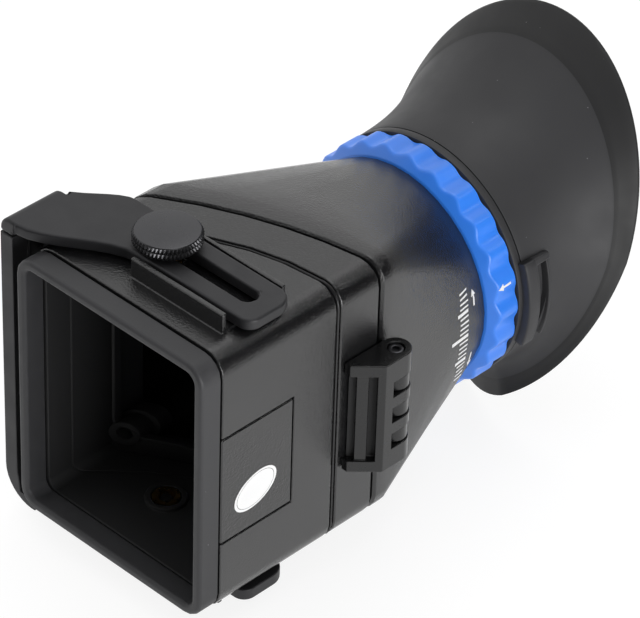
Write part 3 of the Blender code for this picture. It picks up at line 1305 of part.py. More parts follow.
def build():
    for leftover in list(bpy.data.objects):
        bpy.data.objects.remove(leftover)

    rubber = new_material("moulded_rubber", (0.026, 0.026, 0.028), 0.70)
    shell_black = new_material("fine_textured_polycarbonate", (0.060, 0.060, 0.064), 0.55)
    inner_black = new_material("flat_black_nylon", (0.012, 0.012, 0.013), 0.80)
    gasket_black = new_material("gloss_black_gasket", (0.010, 0.010, 0.011), 0.25)
    anodised = new_material("black_anodised_aluminium", (0.050, 0.050, 0.053), 0.42, 0.60)
    steel = new_material("blackened_steel", (0.030, 0.030, 0.032), 0.30, 0.90)
    brass = new_material("brass", (0.560, 0.360, 0.120), 0.35, 1.0)
    blue = new_material("blue_abs", (0.010, 0.110, 0.700), 0.40)
    glass = new_material("coated_glass", (0.900, 0.940, 0.960), 0.03, 0.0, 1.0)

    frame = add_body("loupe_frame", Vector((0, 0, 0)), None)
    pin_axis = Vector((PIN_X, PIN_Y, 0))
    optical_axis = Vector((EYE_X, CONE_END_Y, EYE_Z))
    thumb_axis = Vector((THUMB_X, PLATE_CENTRE_Y, 0))
    bracket = add_body("bracket_slide", Vector((0, PLATE_CENTRE_Y, 0)), frame)
    thumb_top = add_body("thumb_axis_top", thumb_axis, frame)
    thumb_bottom = add_body("thumb_axis_bottom", thumb_axis, frame)
    cone = add_body("cone_hinge", pin_axis, frame)
    ring = add_body("diopter_axis", optical_axis, cone)
    cell = add_body("lens_slide", optical_axis, cone)
    cup = add_body("eyecup_axis", optical_axis, cone)

    make_screen_hood(frame, rubber)
    make_front_shell(frame, shell_black)
    make_side_cover(frame, shell_black)
    make_shell_gasket(frame, gasket_black)
    make_rear_frame(frame, shell_black)
    make_light_baffle(frame, inner_black)
    make_baffle_screws(frame, steel)
    make_insert("threaded_insert_top", 1, frame, brass)
    make_insert("threaded_insert_bottom", -1, frame, brass)
    make_fixed_leaf(frame, shell_black)
    make_hinge_pin(frame, steel)
    make_hinge_screws(("hinge_screw_1", "hinge_screw_2"), (FIXED_SCREW_Y, FIXED_SCREW_Z),
                      SHELL_WALL, FIXED_SCREW_LENGTH, frame, steel)

    make_bracket_frame(bracket, anodised)
    make_bracket_top_arm(bracket, anodised)
    make_bracket_screws(bracket, steel)
    make_thumb_screw("thumb_screw_top", 1, thumb_top, steel)
    make_thumb_screw("thumb_screw_bottom", -1, thumb_bottom, steel)

    make_cone_housing(cone, shell_black)
    make_moving_leaf(cone, shell_black)
    make_hinge_screws(("hinge_screw_3", "hinge_screw_4"), (MOVING_SCREW_Y, MOVING_SCREW_Z),
                      MOVING_SCREW_SEAT, MOVING_SCREW_LENGTH, cone, steel)
    make_eyepiece_tube(cone, inner_black)
    make_tube_screws(cone, steel)
    make_eyecup_mount(cone, inner_black)
    make_diopter_ring(ring, blue)
    make_lens_cell(cell, inner_black)
    make_guide_pins(cell, steel)
    make_lens_stack(cell, glass, inner_black)
    make_eyecup(cup, rubber)

    frame.location = (0, -RIM_TOP_Y / 2, REST_Z)


build()
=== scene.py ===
import json
import math

import bmesh
import bpy
from bpy.props import FloatProperty, FloatVectorProperty, IntProperty, PointerProperty
from mathutils import Matrix, Vector
from mathutils.bvhtree import BVHTree


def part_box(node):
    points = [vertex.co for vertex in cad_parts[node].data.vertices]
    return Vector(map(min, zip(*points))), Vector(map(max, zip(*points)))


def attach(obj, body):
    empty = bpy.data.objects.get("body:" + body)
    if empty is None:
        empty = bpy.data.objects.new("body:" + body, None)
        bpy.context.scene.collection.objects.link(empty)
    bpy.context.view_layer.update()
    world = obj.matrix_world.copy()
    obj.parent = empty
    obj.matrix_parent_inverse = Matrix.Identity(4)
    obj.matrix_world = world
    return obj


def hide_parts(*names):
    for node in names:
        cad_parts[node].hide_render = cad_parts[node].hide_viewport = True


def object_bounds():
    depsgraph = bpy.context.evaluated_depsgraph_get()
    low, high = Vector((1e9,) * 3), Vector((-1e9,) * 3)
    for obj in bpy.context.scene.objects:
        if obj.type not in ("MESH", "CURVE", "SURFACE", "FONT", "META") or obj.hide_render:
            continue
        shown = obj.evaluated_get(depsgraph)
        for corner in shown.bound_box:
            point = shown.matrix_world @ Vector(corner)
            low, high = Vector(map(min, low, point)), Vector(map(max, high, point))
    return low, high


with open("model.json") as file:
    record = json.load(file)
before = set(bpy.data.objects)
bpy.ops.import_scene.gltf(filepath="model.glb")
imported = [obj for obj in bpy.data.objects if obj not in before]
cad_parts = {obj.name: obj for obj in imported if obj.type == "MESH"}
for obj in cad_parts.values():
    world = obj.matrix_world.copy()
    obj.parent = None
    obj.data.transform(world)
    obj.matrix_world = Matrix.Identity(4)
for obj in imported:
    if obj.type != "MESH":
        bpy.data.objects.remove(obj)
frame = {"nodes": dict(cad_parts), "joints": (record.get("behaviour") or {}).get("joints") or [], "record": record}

bl_info = {
    "name": "LCD viewfinder loupe",
    "version": (1, 0, 0),
    "blender": (4, 5, 0),
    "location": "3D View > Sidebar > Loupe",
    "description": "Dresses the loupe's frame in rubber, ABS, anodised metal, glass and print",
    "category": "Object",
}

CAD_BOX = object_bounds()
MM = 0.001
RIGHT = Vector((1, 0, 0))
REARWARD = Vector((0, 1, 0))
UPWARD = Vector((0, 0, 1))

# Places read from the frame. Depth runs along Y from the hood's front face.
HOOD_LOW, HOOD_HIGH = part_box("screen_hood")
HOOD_FRONT_Y = HOOD_LOW.y
BOX_MIDDLE_Z = (HOOD_LOW.z + HOOD_HIGH.z) / 2
EYE = Vector(next(joint["pos_m"] for joint in frame["joints"] if joint["name"] == "eyecup_turn"))
RING_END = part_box("diopter_ring")[1].y - HOOD_FRONT_Y
CUP_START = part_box("eyecup")[0].y - HOOD_FRONT_Y

# The light tent's dark openings: the way to each, the angles of its dark middle and of its soft
# edge, and its share of darkness. The box's rounded right edge mirrors the first. The hood and the
# focusing ring's front bevel mirror the second, in which the camera stands.
TENT_OPENINGS = (
    ((0.62, 0.60, 0.48), math.radians(38), math.radians(48), 1.0),
    ((0.24, -0.95, 0.18), math.radians(32), math.radians(58), 0.95),
)
# The soft boxes: name, place, size in metres, and share of the key power
SOFT_BOXES = (
    ("soft_box_top", (-0.05, 0.30, 1.15), 0.9, 0.55),
    ("soft_box_right", (1.1, -0.20, 0.10), 0.7, 1.7),
    ("soft_box_edge", (0.50, 0.64, 0.80), 0.10, 0.10),
)
# The floor's half side in metres, its glow, and how much of the lamps' light is kept off it, where
# it is seen or mirrored
FLOOR_REACH = 0.28
FLOOR_GLOW = 0.86
FLOOR_SHADE = 0.75

# Blender's noise has most of its values between these two
NOISE_LOW, NOISE_HIGH = 0.3, 0.7

# Welding and flattening of the frame's facets, and the corners that are rounded afterwards
WELD = 0.002 * MM
FLAT_ANGLE = math.radians(0.4)
CORNER = math.radians(34)
# Where the faces of a piece stay apart in its shading
SHARP = math.radians(50)
SHARP_METAL = math.radians(30)
SHARP_KNURL = math.radians(24)

# The box's mouldings are black-lined deeper than this, and the hinge pocket gets painted shade deeper than this
WALL_DEPTH = 1.2 * MM
# How far the seal's bead bulges out of its groove, and where its sides and its top begin
SEAL_RISE = 0.55 * MM
SEAL_SIDE = 20 * MM
SEAL_TOP = 26 * MM

# The pull lug: the ends of its plate, and those of its slot, as angles above the right side. Its
# faces are depths.
LUG_LOW, LUG_HIGH = math.radians(-18.5), math.radians(22.0)
LUG_FOOT, LUG_CAP = math.radians(-20.4), math.radians(18.8)
LUG_FRONT, LUG_FOOT_FRONT = 105.5 * MM, 107.5 * MM
LUG_PLATE_BACK, LUG_SLOT_BACK, LUG_BACK = 109.4 * MM, 113.1 * MM, 113.9 * MM
# How deep the slot behind the lug's plate sinks into the flare, and how steep its walls are
SLOT_SINK = 1.3 * MM
STEEP = 0.04 * MM
# Rows of the eyecup's mesh before its flare, and rows of its matt rim band
FLARE_START_ROW = 8
RIM_ROWS = 13

# The scale's lines on each side of the middle one, and the shares of a short line's length and
# width that the lines at some places have
SCALE_LINES = 9
LONG_LINES = {0: (1.95, 2.0), 5: (1.3, 1.9)}
# Print is cut into cells of this size, or into this many, so that it follows its surface
PRINT_CELL = 0.6 * MM
PRINT_CELLS = 24


def linear(hex_code):
    """The linear colour of an sRGB hex code such as #3a3a3c."""
    channels = [int(hex_code[place:place + 2], 16) / 255 for place in (1, 3, 5)]
    return tuple(c / 12.92 if c <= 0.04045 else ((c + 0.055) / 1.055) ** 2.4 for c in channels)


def opaque(colour):
    return (*colour, 1.0)


def add_node(tree, kind, inputs=None, **settings):
    """Adds one shader node, sets its properties, and fills or links its inputs."""
    node = tree.nodes.new(kind)
    for name, value in settings.items():
        setattr(node, name, value)
    for name, value in (inputs or {}).items():
        if isinstance(value, bpy.types.NodeSocket):
            tree.links.new(value, node.inputs[name])
        else:
            node.inputs[name].default_value = value
    return node


def add_grain(tree, shader, grain, depth, strength):
    """Bump of one grain size, in metres, laid over the surface."""
    place = add_node(tree, "ShaderNodeTexCoord")
    noise = add_node(tree, "ShaderNodeTexNoise",
                     {"Vector": place.outputs["Object"], "Scale": 1 / grain, "Detail": 2.0})
    bump = add_node(tree, "ShaderNodeBump",
                    {"Height": noise.outputs["Fac"], "Distance": depth, "Strength": strength})
    tree.links.new(bump.outputs["Normal"], shader.inputs["Normal"])


def add_mottle(tree, shader, colour, patch, spread, rough_low, rough_high):
    """Slow variation of colour and roughness over patches of one size, as handling leaves."""
    place = add_node(tree, "ShaderNodeTexCoord")
    noise = add_node(tree, "ShaderNodeTexNoise",
                     {"Vector": place.outputs["Object"], "Scale": 1 / patch, "Detail": 4.0})
    dark, pale = ([c * (1 + side * spread) for c in colour] for side in (-1, 1))
    tint = add_node(tree, "ShaderNodeMix",
                    {"Factor": noise.outputs["Fac"], 6: opaque(dark), 7: opaque(pale)},
                    data_type="RGBA")
    rough = add_node(tree, "ShaderNodeMapRange",
                     {"Value": noise.outputs["Fac"], "From Min": NOISE_LOW, "From Max": NOISE_HIGH,
                      "To Min": rough_low, "To Max": rough_high})
    tree.links.new(rough.outputs["Result"], shader.inputs["Roughness"])
    tree.links.new(tint.outputs[2], shader.inputs["Base Color"])
    return tint.outputs[2]


def add_dust(tree, shader, base, spacing, speck, hex_code):
    """Pale specks of lint about one spacing apart."""
    place = add_node(tree, "ShaderNodeTexCoord")
    cells = add_node(tree, "ShaderNodeTexVoronoi",
                     {"Vector": place.outputs["Object"], "Scale": 1 / spacing, "Randomness": 1.0})
    near = add_node(tree, "ShaderNodeMath", {0: cells.outputs["Distance"], 1: speck / spacing},
                    operation="LESS_THAN")
    mix = add_node(tree, "ShaderNodeMix",
                   {"Factor": near.outputs["Value"], 6: base, 7: opaque(linear(hex_code))},
                   data_type="RGBA")
    tree.links.new(mix.outputs[2], shader.inputs["Base Color"])


def surface(name, colour, roughness, mottle=None, dust=None, grain=None, **sockets):
    """A material: plain values on its shader, then what varies over it. mottle is patch, spread
    and the lowest and highest roughness. dust, which only lies on mottle, is spacing, speck and
    colour. grain is size, depth and strength."""
    material = bpy.data.materials.new(name)
    material.use_nodes = True
    tree = material.node_tree
    shader = tree.nodes["Principled BSDF"]
    sockets = {"Base_Color": opaque(colour), "Roughness": roughness, **sockets}
    for socket, value in sockets.items():
        shader.inputs[socket.replace("_", " ")].default_value = value
    material.diffuse_color = opaque(colour)
    if mottle:
        base = add_mottle(tree, shader, colour, *mottle)
        if dust:
            add_dust(tree, shader, base, *dust)
    if grain:
        add_grain(tree, shader, *grain)
    return material


def moulded_silicone(colour, name, grain, patch=9 * MM, spread=0.06):
    """Silicone rubber, press moulded: dull and soft, with a blurred sheen and caught lint."""
    return surface(name, colour, 0.55, IOR=1.43, Sheen_Weight=0.06, Sheen_Roughness=0.4,
                   mottle=(patch, spread, 0.48, 0.60), dust=(5 * MM, 0.11 * MM, "#9a9a9c"),
                   grain=(grain, 0.012 * MM, 0.5))


def moulded_abs(colour, name, low, high, grain=0.42 * MM):
    """ABS, injection moulded in a spark-eroded tool: black, with a broken sheen where an edge
    turns through the light. The grain is drawn coarser than the real one, so that it shows."""
    return surface(name, colour, 0.45, IOR=1.64, mottle=(14 * MM, 0.05, low, high),
                   dust=(8 * MM, 0.08 * MM, "#8c8c8e"), grain=(grain, 0.12 * MM, 1.0))


def flat_black_plastic(colour):
    """Matt black lining: swallows light, so only the steepest glance shows a shine. Laid in the hinge pocket, it
    is painted shade.
    """
    return surface("ABS moulded flat black", colour, 0.7, IOR=1.5,
                   grain=(0.5 * MM, 0.02 * MM, 0.6))


def extruded_seal(colour):
    """EPDM rubber, extruded: smooth and slightly oily, with a long highlight."""
    return surface("EPDM extruded seal", colour, 0.28, IOR=1.52,
                   mottle=(6 * MM, 0.05, 0.22, 0.34))


def anodised_aluminium(colour, name, low, high, metal=0.35):
    """Aluminium, bead blasted and anodised black: a dense dark layer with a soft grey glint."""
    return surface(name, colour, 0.45, Metallic=metal, mottle=(7 * MM, 0.06, low, high),
                   grain=(0.22 * MM, 0.010 * MM, 0.5))


def blackened_steel(colour):
    """Steel, oil blackened: dark, with a sharper glint than the alloy beside it."""
    return surface("Steel oil blackened", colour, 0.35, Metallic=0.9,
                   mottle=(1.5 * MM, 0.15, 0.28, 0.42))


def ground_steel(colour):
    """Steel rod, centreless ground: bright, with fine rings round the axis."""
    material = surface("Steel ground bright", colour, 0.25, Metallic=1.0)
    tree = material.node_tree
    place = add_node(tree, "ShaderNodeTexCoord")
    rings = add_node(tree, "ShaderNodeTexWave",
                     {"Vector": place.outputs["Object"], "Scale": 1 / (0.5 * MM),
                      "Distortion": 0.4}, bands_direction="Z")
    bump = add_node(tree, "ShaderNodeBump",
                    {"Height": rings.outputs["Fac"], "Distance": 0.004 * MM, "Strength": 0.4})
    tree.links.new(bump.outputs["Normal"], tree.nodes["Principled BSDF"].inputs["Normal"])
    return material


def turned_brass(colour):
    """Brass, turned: warm and bright, unevenly dulled by handling."""
    return surface("Brass turned", colour, 0.3, Metallic=1.0, mottle=(2 * MM, 0.08, 0.24, 0.36))


def filled_nylon(colour):
    """Glass-filled nylon, moulded: satin, a little glossier than the shells beside it."""
    return surface("Nylon glass filled", colour, 0.25, IOR=1.53, mottle=(5 * MM, 0.08, 0.20, 0.30),
                   grain=(0.4 * MM, 0.03 * MM, 0.8))


def blue_abs(colour):
    """Blue ABS, injection moulded: coloured right through, with a satin shine."""
    return surface("ABS moulded blue", colour, 0.36, IOR=1.53, Subsurface_Weight=0.05,
                   Subsurface_Radius=(0.2, 0.4, 1.0), Subsurface_Scale=0.6 * MM, Coat_Weight=0.12,
                   Coat_Roughness=0.25, mottle=(6 * MM, 0.05, 0.30, 0.42),
                   grain=(0.6 * MM, 0.008 * MM, 0.4))


def coated_glass(colour):
    """Optical glass, polished and coated: clear, with a faint violet cast."""
    return surface("Glass polished coated", colour, 0.02, IOR=1.52, Transmission_Weight=1.0,
                   Coat_Weight=0.3, Coat_Roughness=0.02, Coat_Tint=opaque(linear("#eee8ff")))


def printed_ink(colour):
    """White pad-printed ink: thin, matt and very slightly uneven in cover."""
    return surface("Ink pad printed white", colour, 0.5, IOR=1.48,
                   mottle=(0.8 * MM, 0.06, 0.45, 0.60))


def label_vinyl(centre, sizes):
    """Vinyl label, gloss white with a thin grey oval printed inside its edge."""
    oval_share, half_line = 0.88, 0.012
    white, grey = linear("#ffffff"), linear("#8a8a8c")
    material = surface("Vinyl label gloss white", white, 0.3, IOR=1.5)
    tree = material.node_tree
    place = add_node(tree, "ShaderNodeTexCoord")
    oval = add_node(tree, "ShaderNodeMapping",
                    {"Vector": place.outputs["Object"], "Location": tuple(centre),
                     "Rotation": (sizes.label_tilt, 0, 0),
                     "Scale": (1, sizes.label_half_length, sizes.label_half_width)},
                    vector_type="TEXTURE")
    reach = add_node(tree, "ShaderNodeVectorMath", {0: oval.outputs["Vector"]}, operation="LENGTH")
    near = add_node(tree, "ShaderNodeMath",
                    {0: reach.outputs["Value"], 1: oval_share, 2: half_line}, operation="COMPARE")
    mix = add_node(tree, "ShaderNodeMix",
                   {"Factor": near.outputs["Value"], 6: opaque(white), 7: opaque(grey)},
                   data_type="RGBA")
    tree.links.new(mix.outputs[2], tree.nodes["Principled BSDF"].inputs["Base Color"])
    return material


# Each finish's maker, its colour, which is one of LoupeFinishes or a hex code, and what else it
# is made with. All but the rim's and the ink's are named as the record's slots are.
FINISH_MAKERS = {
    "hood_rubber": (moulded_silicone, "hood_colour", "Silicone moulded hood black", 0.30 * MM,
                    3 * MM, 0.22),
    "cup_rubber": (moulded_silicone, "cup_colour", "Silicone moulded eyecup black", 0.35 * MM),
    "cup_rim": (moulded_silicone, "rim_colour", "Silicone moulded rim matt", 0.35 * MM),
    "shell_abs": (moulded_abs, "shell_colour", "ABS moulded spark texture", 0.18, 0.24),
    "side_cover_abs": (moulded_abs, "shell_colour", "ABS moulded satin", 0.20, 0.26, 0.5 * MM),
    "inner_black": (flat_black_plastic, "lining_colour"),
    "gasket_rubber": (extruded_seal, "#232324"),
    "bracket_alloy": (anodised_aluminium, "bracket_colour", "Aluminium blasted black anodised",
                      0.42, 0.55),
    "knob_alloy": (anodised_aluminium, "knob_colour", "Aluminium knurled black anodised",
                   0.24, 0.34, 0.85),
    "cell_alloy": (anodised_aluminium, "lining_colour", "Aluminium turned black anodised",
                   0.40, 0.50),
    "black_steel": (blackened_steel, "#4a4a4d"),
    "hinge_nylon": (filled_nylon, "hinge_colour"),
    "steel_pin": (ground_steel, "#bdbdbf"),
    "brass_insert": (turned_brass, "#c9a45c"),
    "ring_blue": (blue_abs, "ring_colour"),
    "lens_glass": (coated_glass, "#f4fbff"),
    "print_ink": (printed_ink, "print_colour"),
}
FINISHES = {}


def finish_for(slot):
    """The material for a slot, made when it is first asked for."""
    if slot not in FINISHES:
        maker, colour, *values = FINISH_MAKERS[slot]
        if colour.startswith("#"):
            colour = linear(colour)
        else:
            colour = tuple(getattr(bpy.context.scene.loupe_finishes, colour))
        FINISHES[slot] = maker(colour, *values)
    return FINISHES[slot]


def node_slot(node):
    """The record's material slot for a node of the frame."""
    return next(row["material_slot"] for row in frame["record"]["subparts"] if row["node"] == node)


def node_body(node):
    """The body that carries a node of the frame."""
    bodies = frame["record"]["behaviour"]["bodies"]
    return next(name for name, nodes in bodies.items() if node in nodes)


def mesh_from(name, mesh_data):
    """Turns a bmesh into a mesh."""
    mesh = bpy.data.meshes.new(name)
    mesh_data.to_mesh(mesh)
    mesh_data.free()
    return mesh


def new_object(name, data):
    """Puts a mesh, lamp or camera into the scene."""
    holder = bpy.data.objects.new(name, data)
    bpy.context.scene.collection.objects.link(holder)
    return holder


def link_piece(name, mesh, body, finish):
    """Puts a mesh into the scene as a piece with its finish, on its body."""
    piece = new_object(name, mesh)
    mesh.materials.append(finish_for(finish))
    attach(piece, body)
    return piece


def new_piece(name, mesh_data, slot, body, sharp_angle=None):
    """Turns a bmesh into a smooth piece. Its edges stay sharp where they turn by more than the
    angle."""
    bmesh.ops.recalc_face_normals(mesh_data, faces=mesh_data.faces)
    mesh = mesh_from(name, mesh_data)
    mesh.shade_smooth()
    if sharp_angle:
        mesh.set_sharp_from_angle(angle=sharp_angle)
    return link_piece(name, mesh, body, slot)


def round_edges(piece, width, corner=CORNER, segments=3):
    """Rounds a piece's corners and keeps its flats flat."""
    bevel = piece.modifiers.new("rounded edges", "BEVEL")
    bevel.width = width
    bevel.segments = segments
    bevel.limit_method = "ANGLE"
    bevel.angle_limit = corner
    bevel.use_clamp_overlap = False
    normals = piece.modifiers.new("flat faces", "WEIGHTED_NORMAL")
    normals.mode = "FACE_AREA"
    normals.weight = 50
    normals.keep_sharp = True


def node_mesh(node):
    """A copy of a frame node's mesh, welded, with its flat facets joined."""
    mesh_data = bmesh.new()
    mesh_data.from_mesh(frame["nodes"][node].data)
    bmesh.ops.remove_doubles(mesh_data, verts=mesh_data.verts, dist=WELD)
    bmesh.ops.join_triangles(mesh_data, faces=mesh_data.faces, angle_face_threshold=FLAT_ANGLE,
                             angle_shape_threshold=math.pi)
    return mesh_data


def from_node(node, width, name=None, segments=3, corner=CORNER):
    """A frame node's own form with welded facets and softly rounded edges."""
    piece = new_piece(name or node + "_finished", node_mesh(node), node_slot(node),
                      node_body(node))
    round_edges(piece, width, corner, segments)
    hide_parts(node)
    return piece


def line_inside(piece):
    """Gives the faces of a box moulding that lie deeper than its wall the flat black lining."""
    piece.data.materials.append(finish_for("inner_black"))
    half_width = (HOOD_HIGH.x - HOOD_LOW.x) / 2
    half_height = (HOOD_HIGH.z - HOOD_LOW.z) / 2
    for face in piece.data.polygons:
        across = half_width - abs(face.center.x)
        upward = half_height - abs(face.center.z - BOX_MIDDLE_Z)
        if min(across, upward) > WALL_DEPTH:
            face.material_index = 1


def raise_seal(seal):
    """Pushes the seal outward on all four sides, so that its bead stands out of the groove."""
    for vertex in seal.data.vertices:
        x, z = vertex.co.x, vertex.co.z - BOX_MIDDLE_Z
        vertex.co += Vector((math.copysign(SEAL_RISE, x) * (abs(x) > SEAL_SIDE), 0,
                             math.copysign(SEAL_RISE, z) * (abs(z) > SEAL_TOP)))


def paint_nodes(*nodes):
    """Gives frame nodes that show as they are their finish."""
    for node in nodes:
        slots = frame["nodes"][node].data.materials
        if not slots:
            slots.append(None)
        for index in range(len(slots)):
            slots[index] = finish_for(node_slot(node))


def numbered(name, first, last):
    """The names of like nodes, such as baffle_screw_1 to baffle_screw_4."""
    return [f"{name}_{index}" for index in range(first, last + 1)]


def loop_rings(rings, closed=True):
    """Bridges rings of points. A closed loop makes a hollow body, an open one gets end faces."""
    mesh_data = bmesh.new()
    rows = [[mesh_data.verts.new(point) for point in ring] for ring in rings]
    pairs = list(zip(rows, rows[1:]))
    if closed:
        pairs.append((rows[-1], rows[0]))
    count = len(rows[0])
    for row, following in pairs:
        for index in range(count):
            after = (index + 1) % count
            mesh_data.faces.new((row[index], row[after], following[after], following[index]))
    if not closed:
        mesh_data.faces.new(rows[0])
        mesh_data.faces.new(rows[-1])
    return mesh_data


def even_angles(count):
    return [2 * math.pi * index / count for index in range(count)]


def on_axis(radius, angle, depth):
    """A point round the optical axis, at a depth behind the hood's front face."""
    return (EYE.x + radius * math.cos(angle), HOOD_FRONT_Y + depth,
            EYE.z + radius * math.sin(angle))


def millimetres(name, description, default):
    """A size that the sidebar shows as a length, with its default in millimetres."""
    return FloatProperty(name=name, description=description, default=default * MM, min=0,
                         unit="LENGTH")


def number(name, description, default):
    """A plain number."""
    return FloatProperty(name=name, description=description, default=default)


def whole(name, description, default, least):
    """A whole number with its least value."""
    return IntProperty(name=name, description=description, default=default, min=least)


def degrees(name, description, default):
    """An angle, with its default in degrees."""
    return FloatProperty(name=name, description=description, default=math.radians(default),
                         subtype="ANGLE")


def paint(name, description, hex_code):
    """A colour, with its default as a hex code."""
    return FloatVectorProperty(name=name, description=description, subtype="COLOR", size=3,
                               min=0, max=1, default=linear(hex_code))


class LoupeFinishes(bpy.types.PropertyGroup):
    """Colours of the loupe's parts."""

    hood_colour: paint("Hood rubber", "Screen hood's silicone", "#39393b")
    cup_colour: paint("Eyecup rubber", "Eyecup's silicone", "#333335")
    rim_colour: paint("Rim rubber", "Matt band at the eyecup's rim", "#212122")
    shell_colour: paint("Shell plastic", "Box shells and cone", "#171718")
    lining_colour: paint("Lining", "Baffle, tube and lens cell", "#1c1c1d")
    bracket_colour: paint("Bracket", "Bracket's anodised layer", "#2e2e30")
    knob_colour: paint("Thumb screws", "Thumb screws' anodised layer", "#4c4c4e")
    hinge_colour: paint("Hinge nylon", "Hinge leaves", "#121213")
    ring_colour: paint("Focusing ring", "Blue of the focusing ring", "#3888fa")
    print_colour: paint("Print", "Scale and arrows", "#f2f2f2")


class LoupeEdges(bpy.types.PropertyGroup):
    """Radii of the moulded and machined edges."""

    shell: millimetres("Front shell", "Edge radius of the box's front moulding", 0.35)
    seam: millimetres("Seam", "Edge radius where the cone meets the box", 0.15)
    fine: millimetres("Fine parts", "Edge radius of the small mouldings", 0.22)
    bracket: millimetres("Bracket", "Edge radius of the bracket", 0.30)
    bead: millimetres("Seal", "Edge radius of the seal's bead", 0.35)
    arm: millimetres("Top arm", "Edge radius of the upper arm's plate", 0.70)
    rubber: millimetres("Rubber", "Edge radius of the hood", 0.40)


class RingSizes(bpy.types.PropertyGroup):
    """The focusing ring's scalloped grip."""

    radius: millimetres("Radius", "Radius over the crests", 32.0)
    front_radius: millimetres("Front radius", "Radius of the front edge", 29.1)
    bore_radius: millimetres("Bore radius", "Radius of the bore", 24.6)
    length: millimetres("Length", "Length of the grip", 7.9)
    crests: whole("Crests", "Scallops round the grip", 25, 8)
    first_crest: degrees("First crest", "Angle of one crest above the right side", 17.2)
    scallop: millimetres("Scallop depth", "Depth of the hollows between the crests", 1.10)
    bevel_slope: number("Bevel slope", "Rise of the front bevel over its length", 1.6)
    rear_slope: number("Rear slope", "Rise of the rear chamfer over its length", 1.6)
    ease: millimetres("Edge softness", "Radius where the faces meet", 0.28)


class EyecupSizes(bpy.types.PropertyGroup):
    """The eyecup's collar, flare, rim and lug, read about the optical axis."""

    neck: millimetres("Collar radius", "Radius of the gripping collar", 31.8)
    collar: millimetres("Collar length", "Collar's length up to the fine groove", 2.3)
    groove_depth: millimetres("Groove depth", "Depth of the fine groove", 0.9)
    groove_width: millimetres("Groove width", "Width of the fine groove", 0.34)
    flare: millimetres("Flare length", "Length from the groove to the rim's middle", 25.7)
    rim_half_width: millimetres("Rim half width", "Half the rim's width", 38.5)
    rim_rise: millimetres("Rim rise", "Rim's reach above its middle", 46.9)
    rim_fall: millimetres("Rim fall", "Rim's reach below its middle", 46.1)
    rim_lift: millimetres("Rim lift", "Rise of the rim's middle", 4.2)
    rim_shift: millimetres("Rim shift", "Rim's middle to the right", 1.85)
    lean_above: number("Lean above", "Lean of the rim's upper half", 0.33)
    lean_below: number("Lean below", "Lean of the rim's lower half", 0.49)
    lean_side: number("Lean at the side", "How much the lean fades toward the lower left", 0.44)
    flare_power: number("Flare power", "How late the flare opens", 2.6)
    band: millimetres("Rim band", "Width of the thicker band at the rim", 4.4)
    band_step: millimetres("Band step", "How far the band stands proud", 0.22)
    wall: millimetres("Wall", "Thickness of the rubber", 1.6)
    lug_radius: millimetres("Lug radius", "Radius over the pull lug", 34.2)
    steps_round: whole("Steps round", "Points in each ring", 144, 24)
    steps_along: whole("Steps along", "Rings in the flare", 26, 4)


class ThumbSizes(bpy.types.PropertyGroup):
    """The thumb screws' heads."""

    radius: millimetres("Radius", "Radius over the knurls", 8.2)
    height: millimetres("Height", "Height of the knurled head", 3.4)
    knurls: whole("Knurls", "Teeth round each row", 54, 8)
    knurl_depth: millimetres("Knurl depth", "Depth of the teeth", 0.60)


class PrintSizes(bpy.types.PropertyGroup):
    """The focusing scale on the cone and the oval label."""

    tick_length: millimetres("Tick", "Length of a short scale line", 3.1)
    tick_width: millimetres("Tick width", "Width of a short scale line", 0.46)
    tick_pitch: millimetres("Pitch", "Spacing of the scale lines", 1.40)
    scale_depth: millimetres("Scale place", "Depth of the scale's rear ends", 89.5)
    scale_drop: millimetres("Scale drop", "Middle line below the optical axis", 0.4)
    label_depth: millimetres("Label depth", "Depth of the label's middle", 17.0)
    label_drop: millimetres("Label drop", "Label's middle below the box's middle", 5.8)
    label_half_length: millimetres("Label half length", "Half the oval label's length", 6.8)
    label_half_width: millimetres("Label half width", "Half the oval label's width", 4.5)
    label_tilt: degrees("Label tilt", "Rise of the label toward the rear", 20.7)


class StageSettings(bpy.types.PropertyGroup):
    """Camera and lamps."""

    azimuth: degrees("Azimuth", "Camera's turn to the right", 43.901)
    elevation: degrees("Elevation", "Camera's height as an angle", 37.266)
    roll: degrees("Roll", "Camera's tilt", 1.654)
    distance: millimetres("Distance", "Camera to the aimed point", 985.155)
    aim_depth: millimetres("Aim depth", "Aimed point behind the hood's front", 60.0)
    focal_pixels: number("Focal length in pixels", "For a 640 pixel frame", 4233.39)
    tent_light: number("Light tent", "Strength of the tent's walls", 0.90)
    key_power: number("Key power", "Watts of a soft box that has a share of 1", 5.0)


class LOUPE_OT_screen_hood(bpy.types.Operator):
    """Make the soft frame that meets the camera's screen"""

    bl_idname = "loupe.screen_hood"
    bl_label = "Screen hood"

    def execute(self, context):
        from_node("screen_hood", context.scene.loupe_edges.rubber, "hood_rubber_frame",
                  segments=4, corner=math.radians(25))
        return {"FINISHED"}


class LOUPE_OT_box_shells(bpy.types.Operator):
    """Make the box's mouldings, the seal between them and the side cover"""

    bl_idname = "loupe.box_shells"
    bl_label = "Box shells"

    def execute(self, context):
        edges = context.scene.loupe_edges
        line_inside(from_node("front_shell", edges.shell))
        line_inside(from_node("rear_frame", edges.seam))
        from_node("side_cover", edges.fine)
        raise_seal(from_node("shell_gasket", edges.bead))
        return {"FINISHED"}


class LOUPE_OT_light_baffle(bpy.types.Operator):
    """Make the light baffle inside the box and its screws"""

    bl_idname = "loupe.light_baffle"
    bl_label = "Light baffle"

    def execute(self, context):
        from_node("light_baffle", context.scene.loupe_edges.fine)
        paint_nodes(*numbered("baffle_screw", 1, 4))
        return {"FINISHED"}


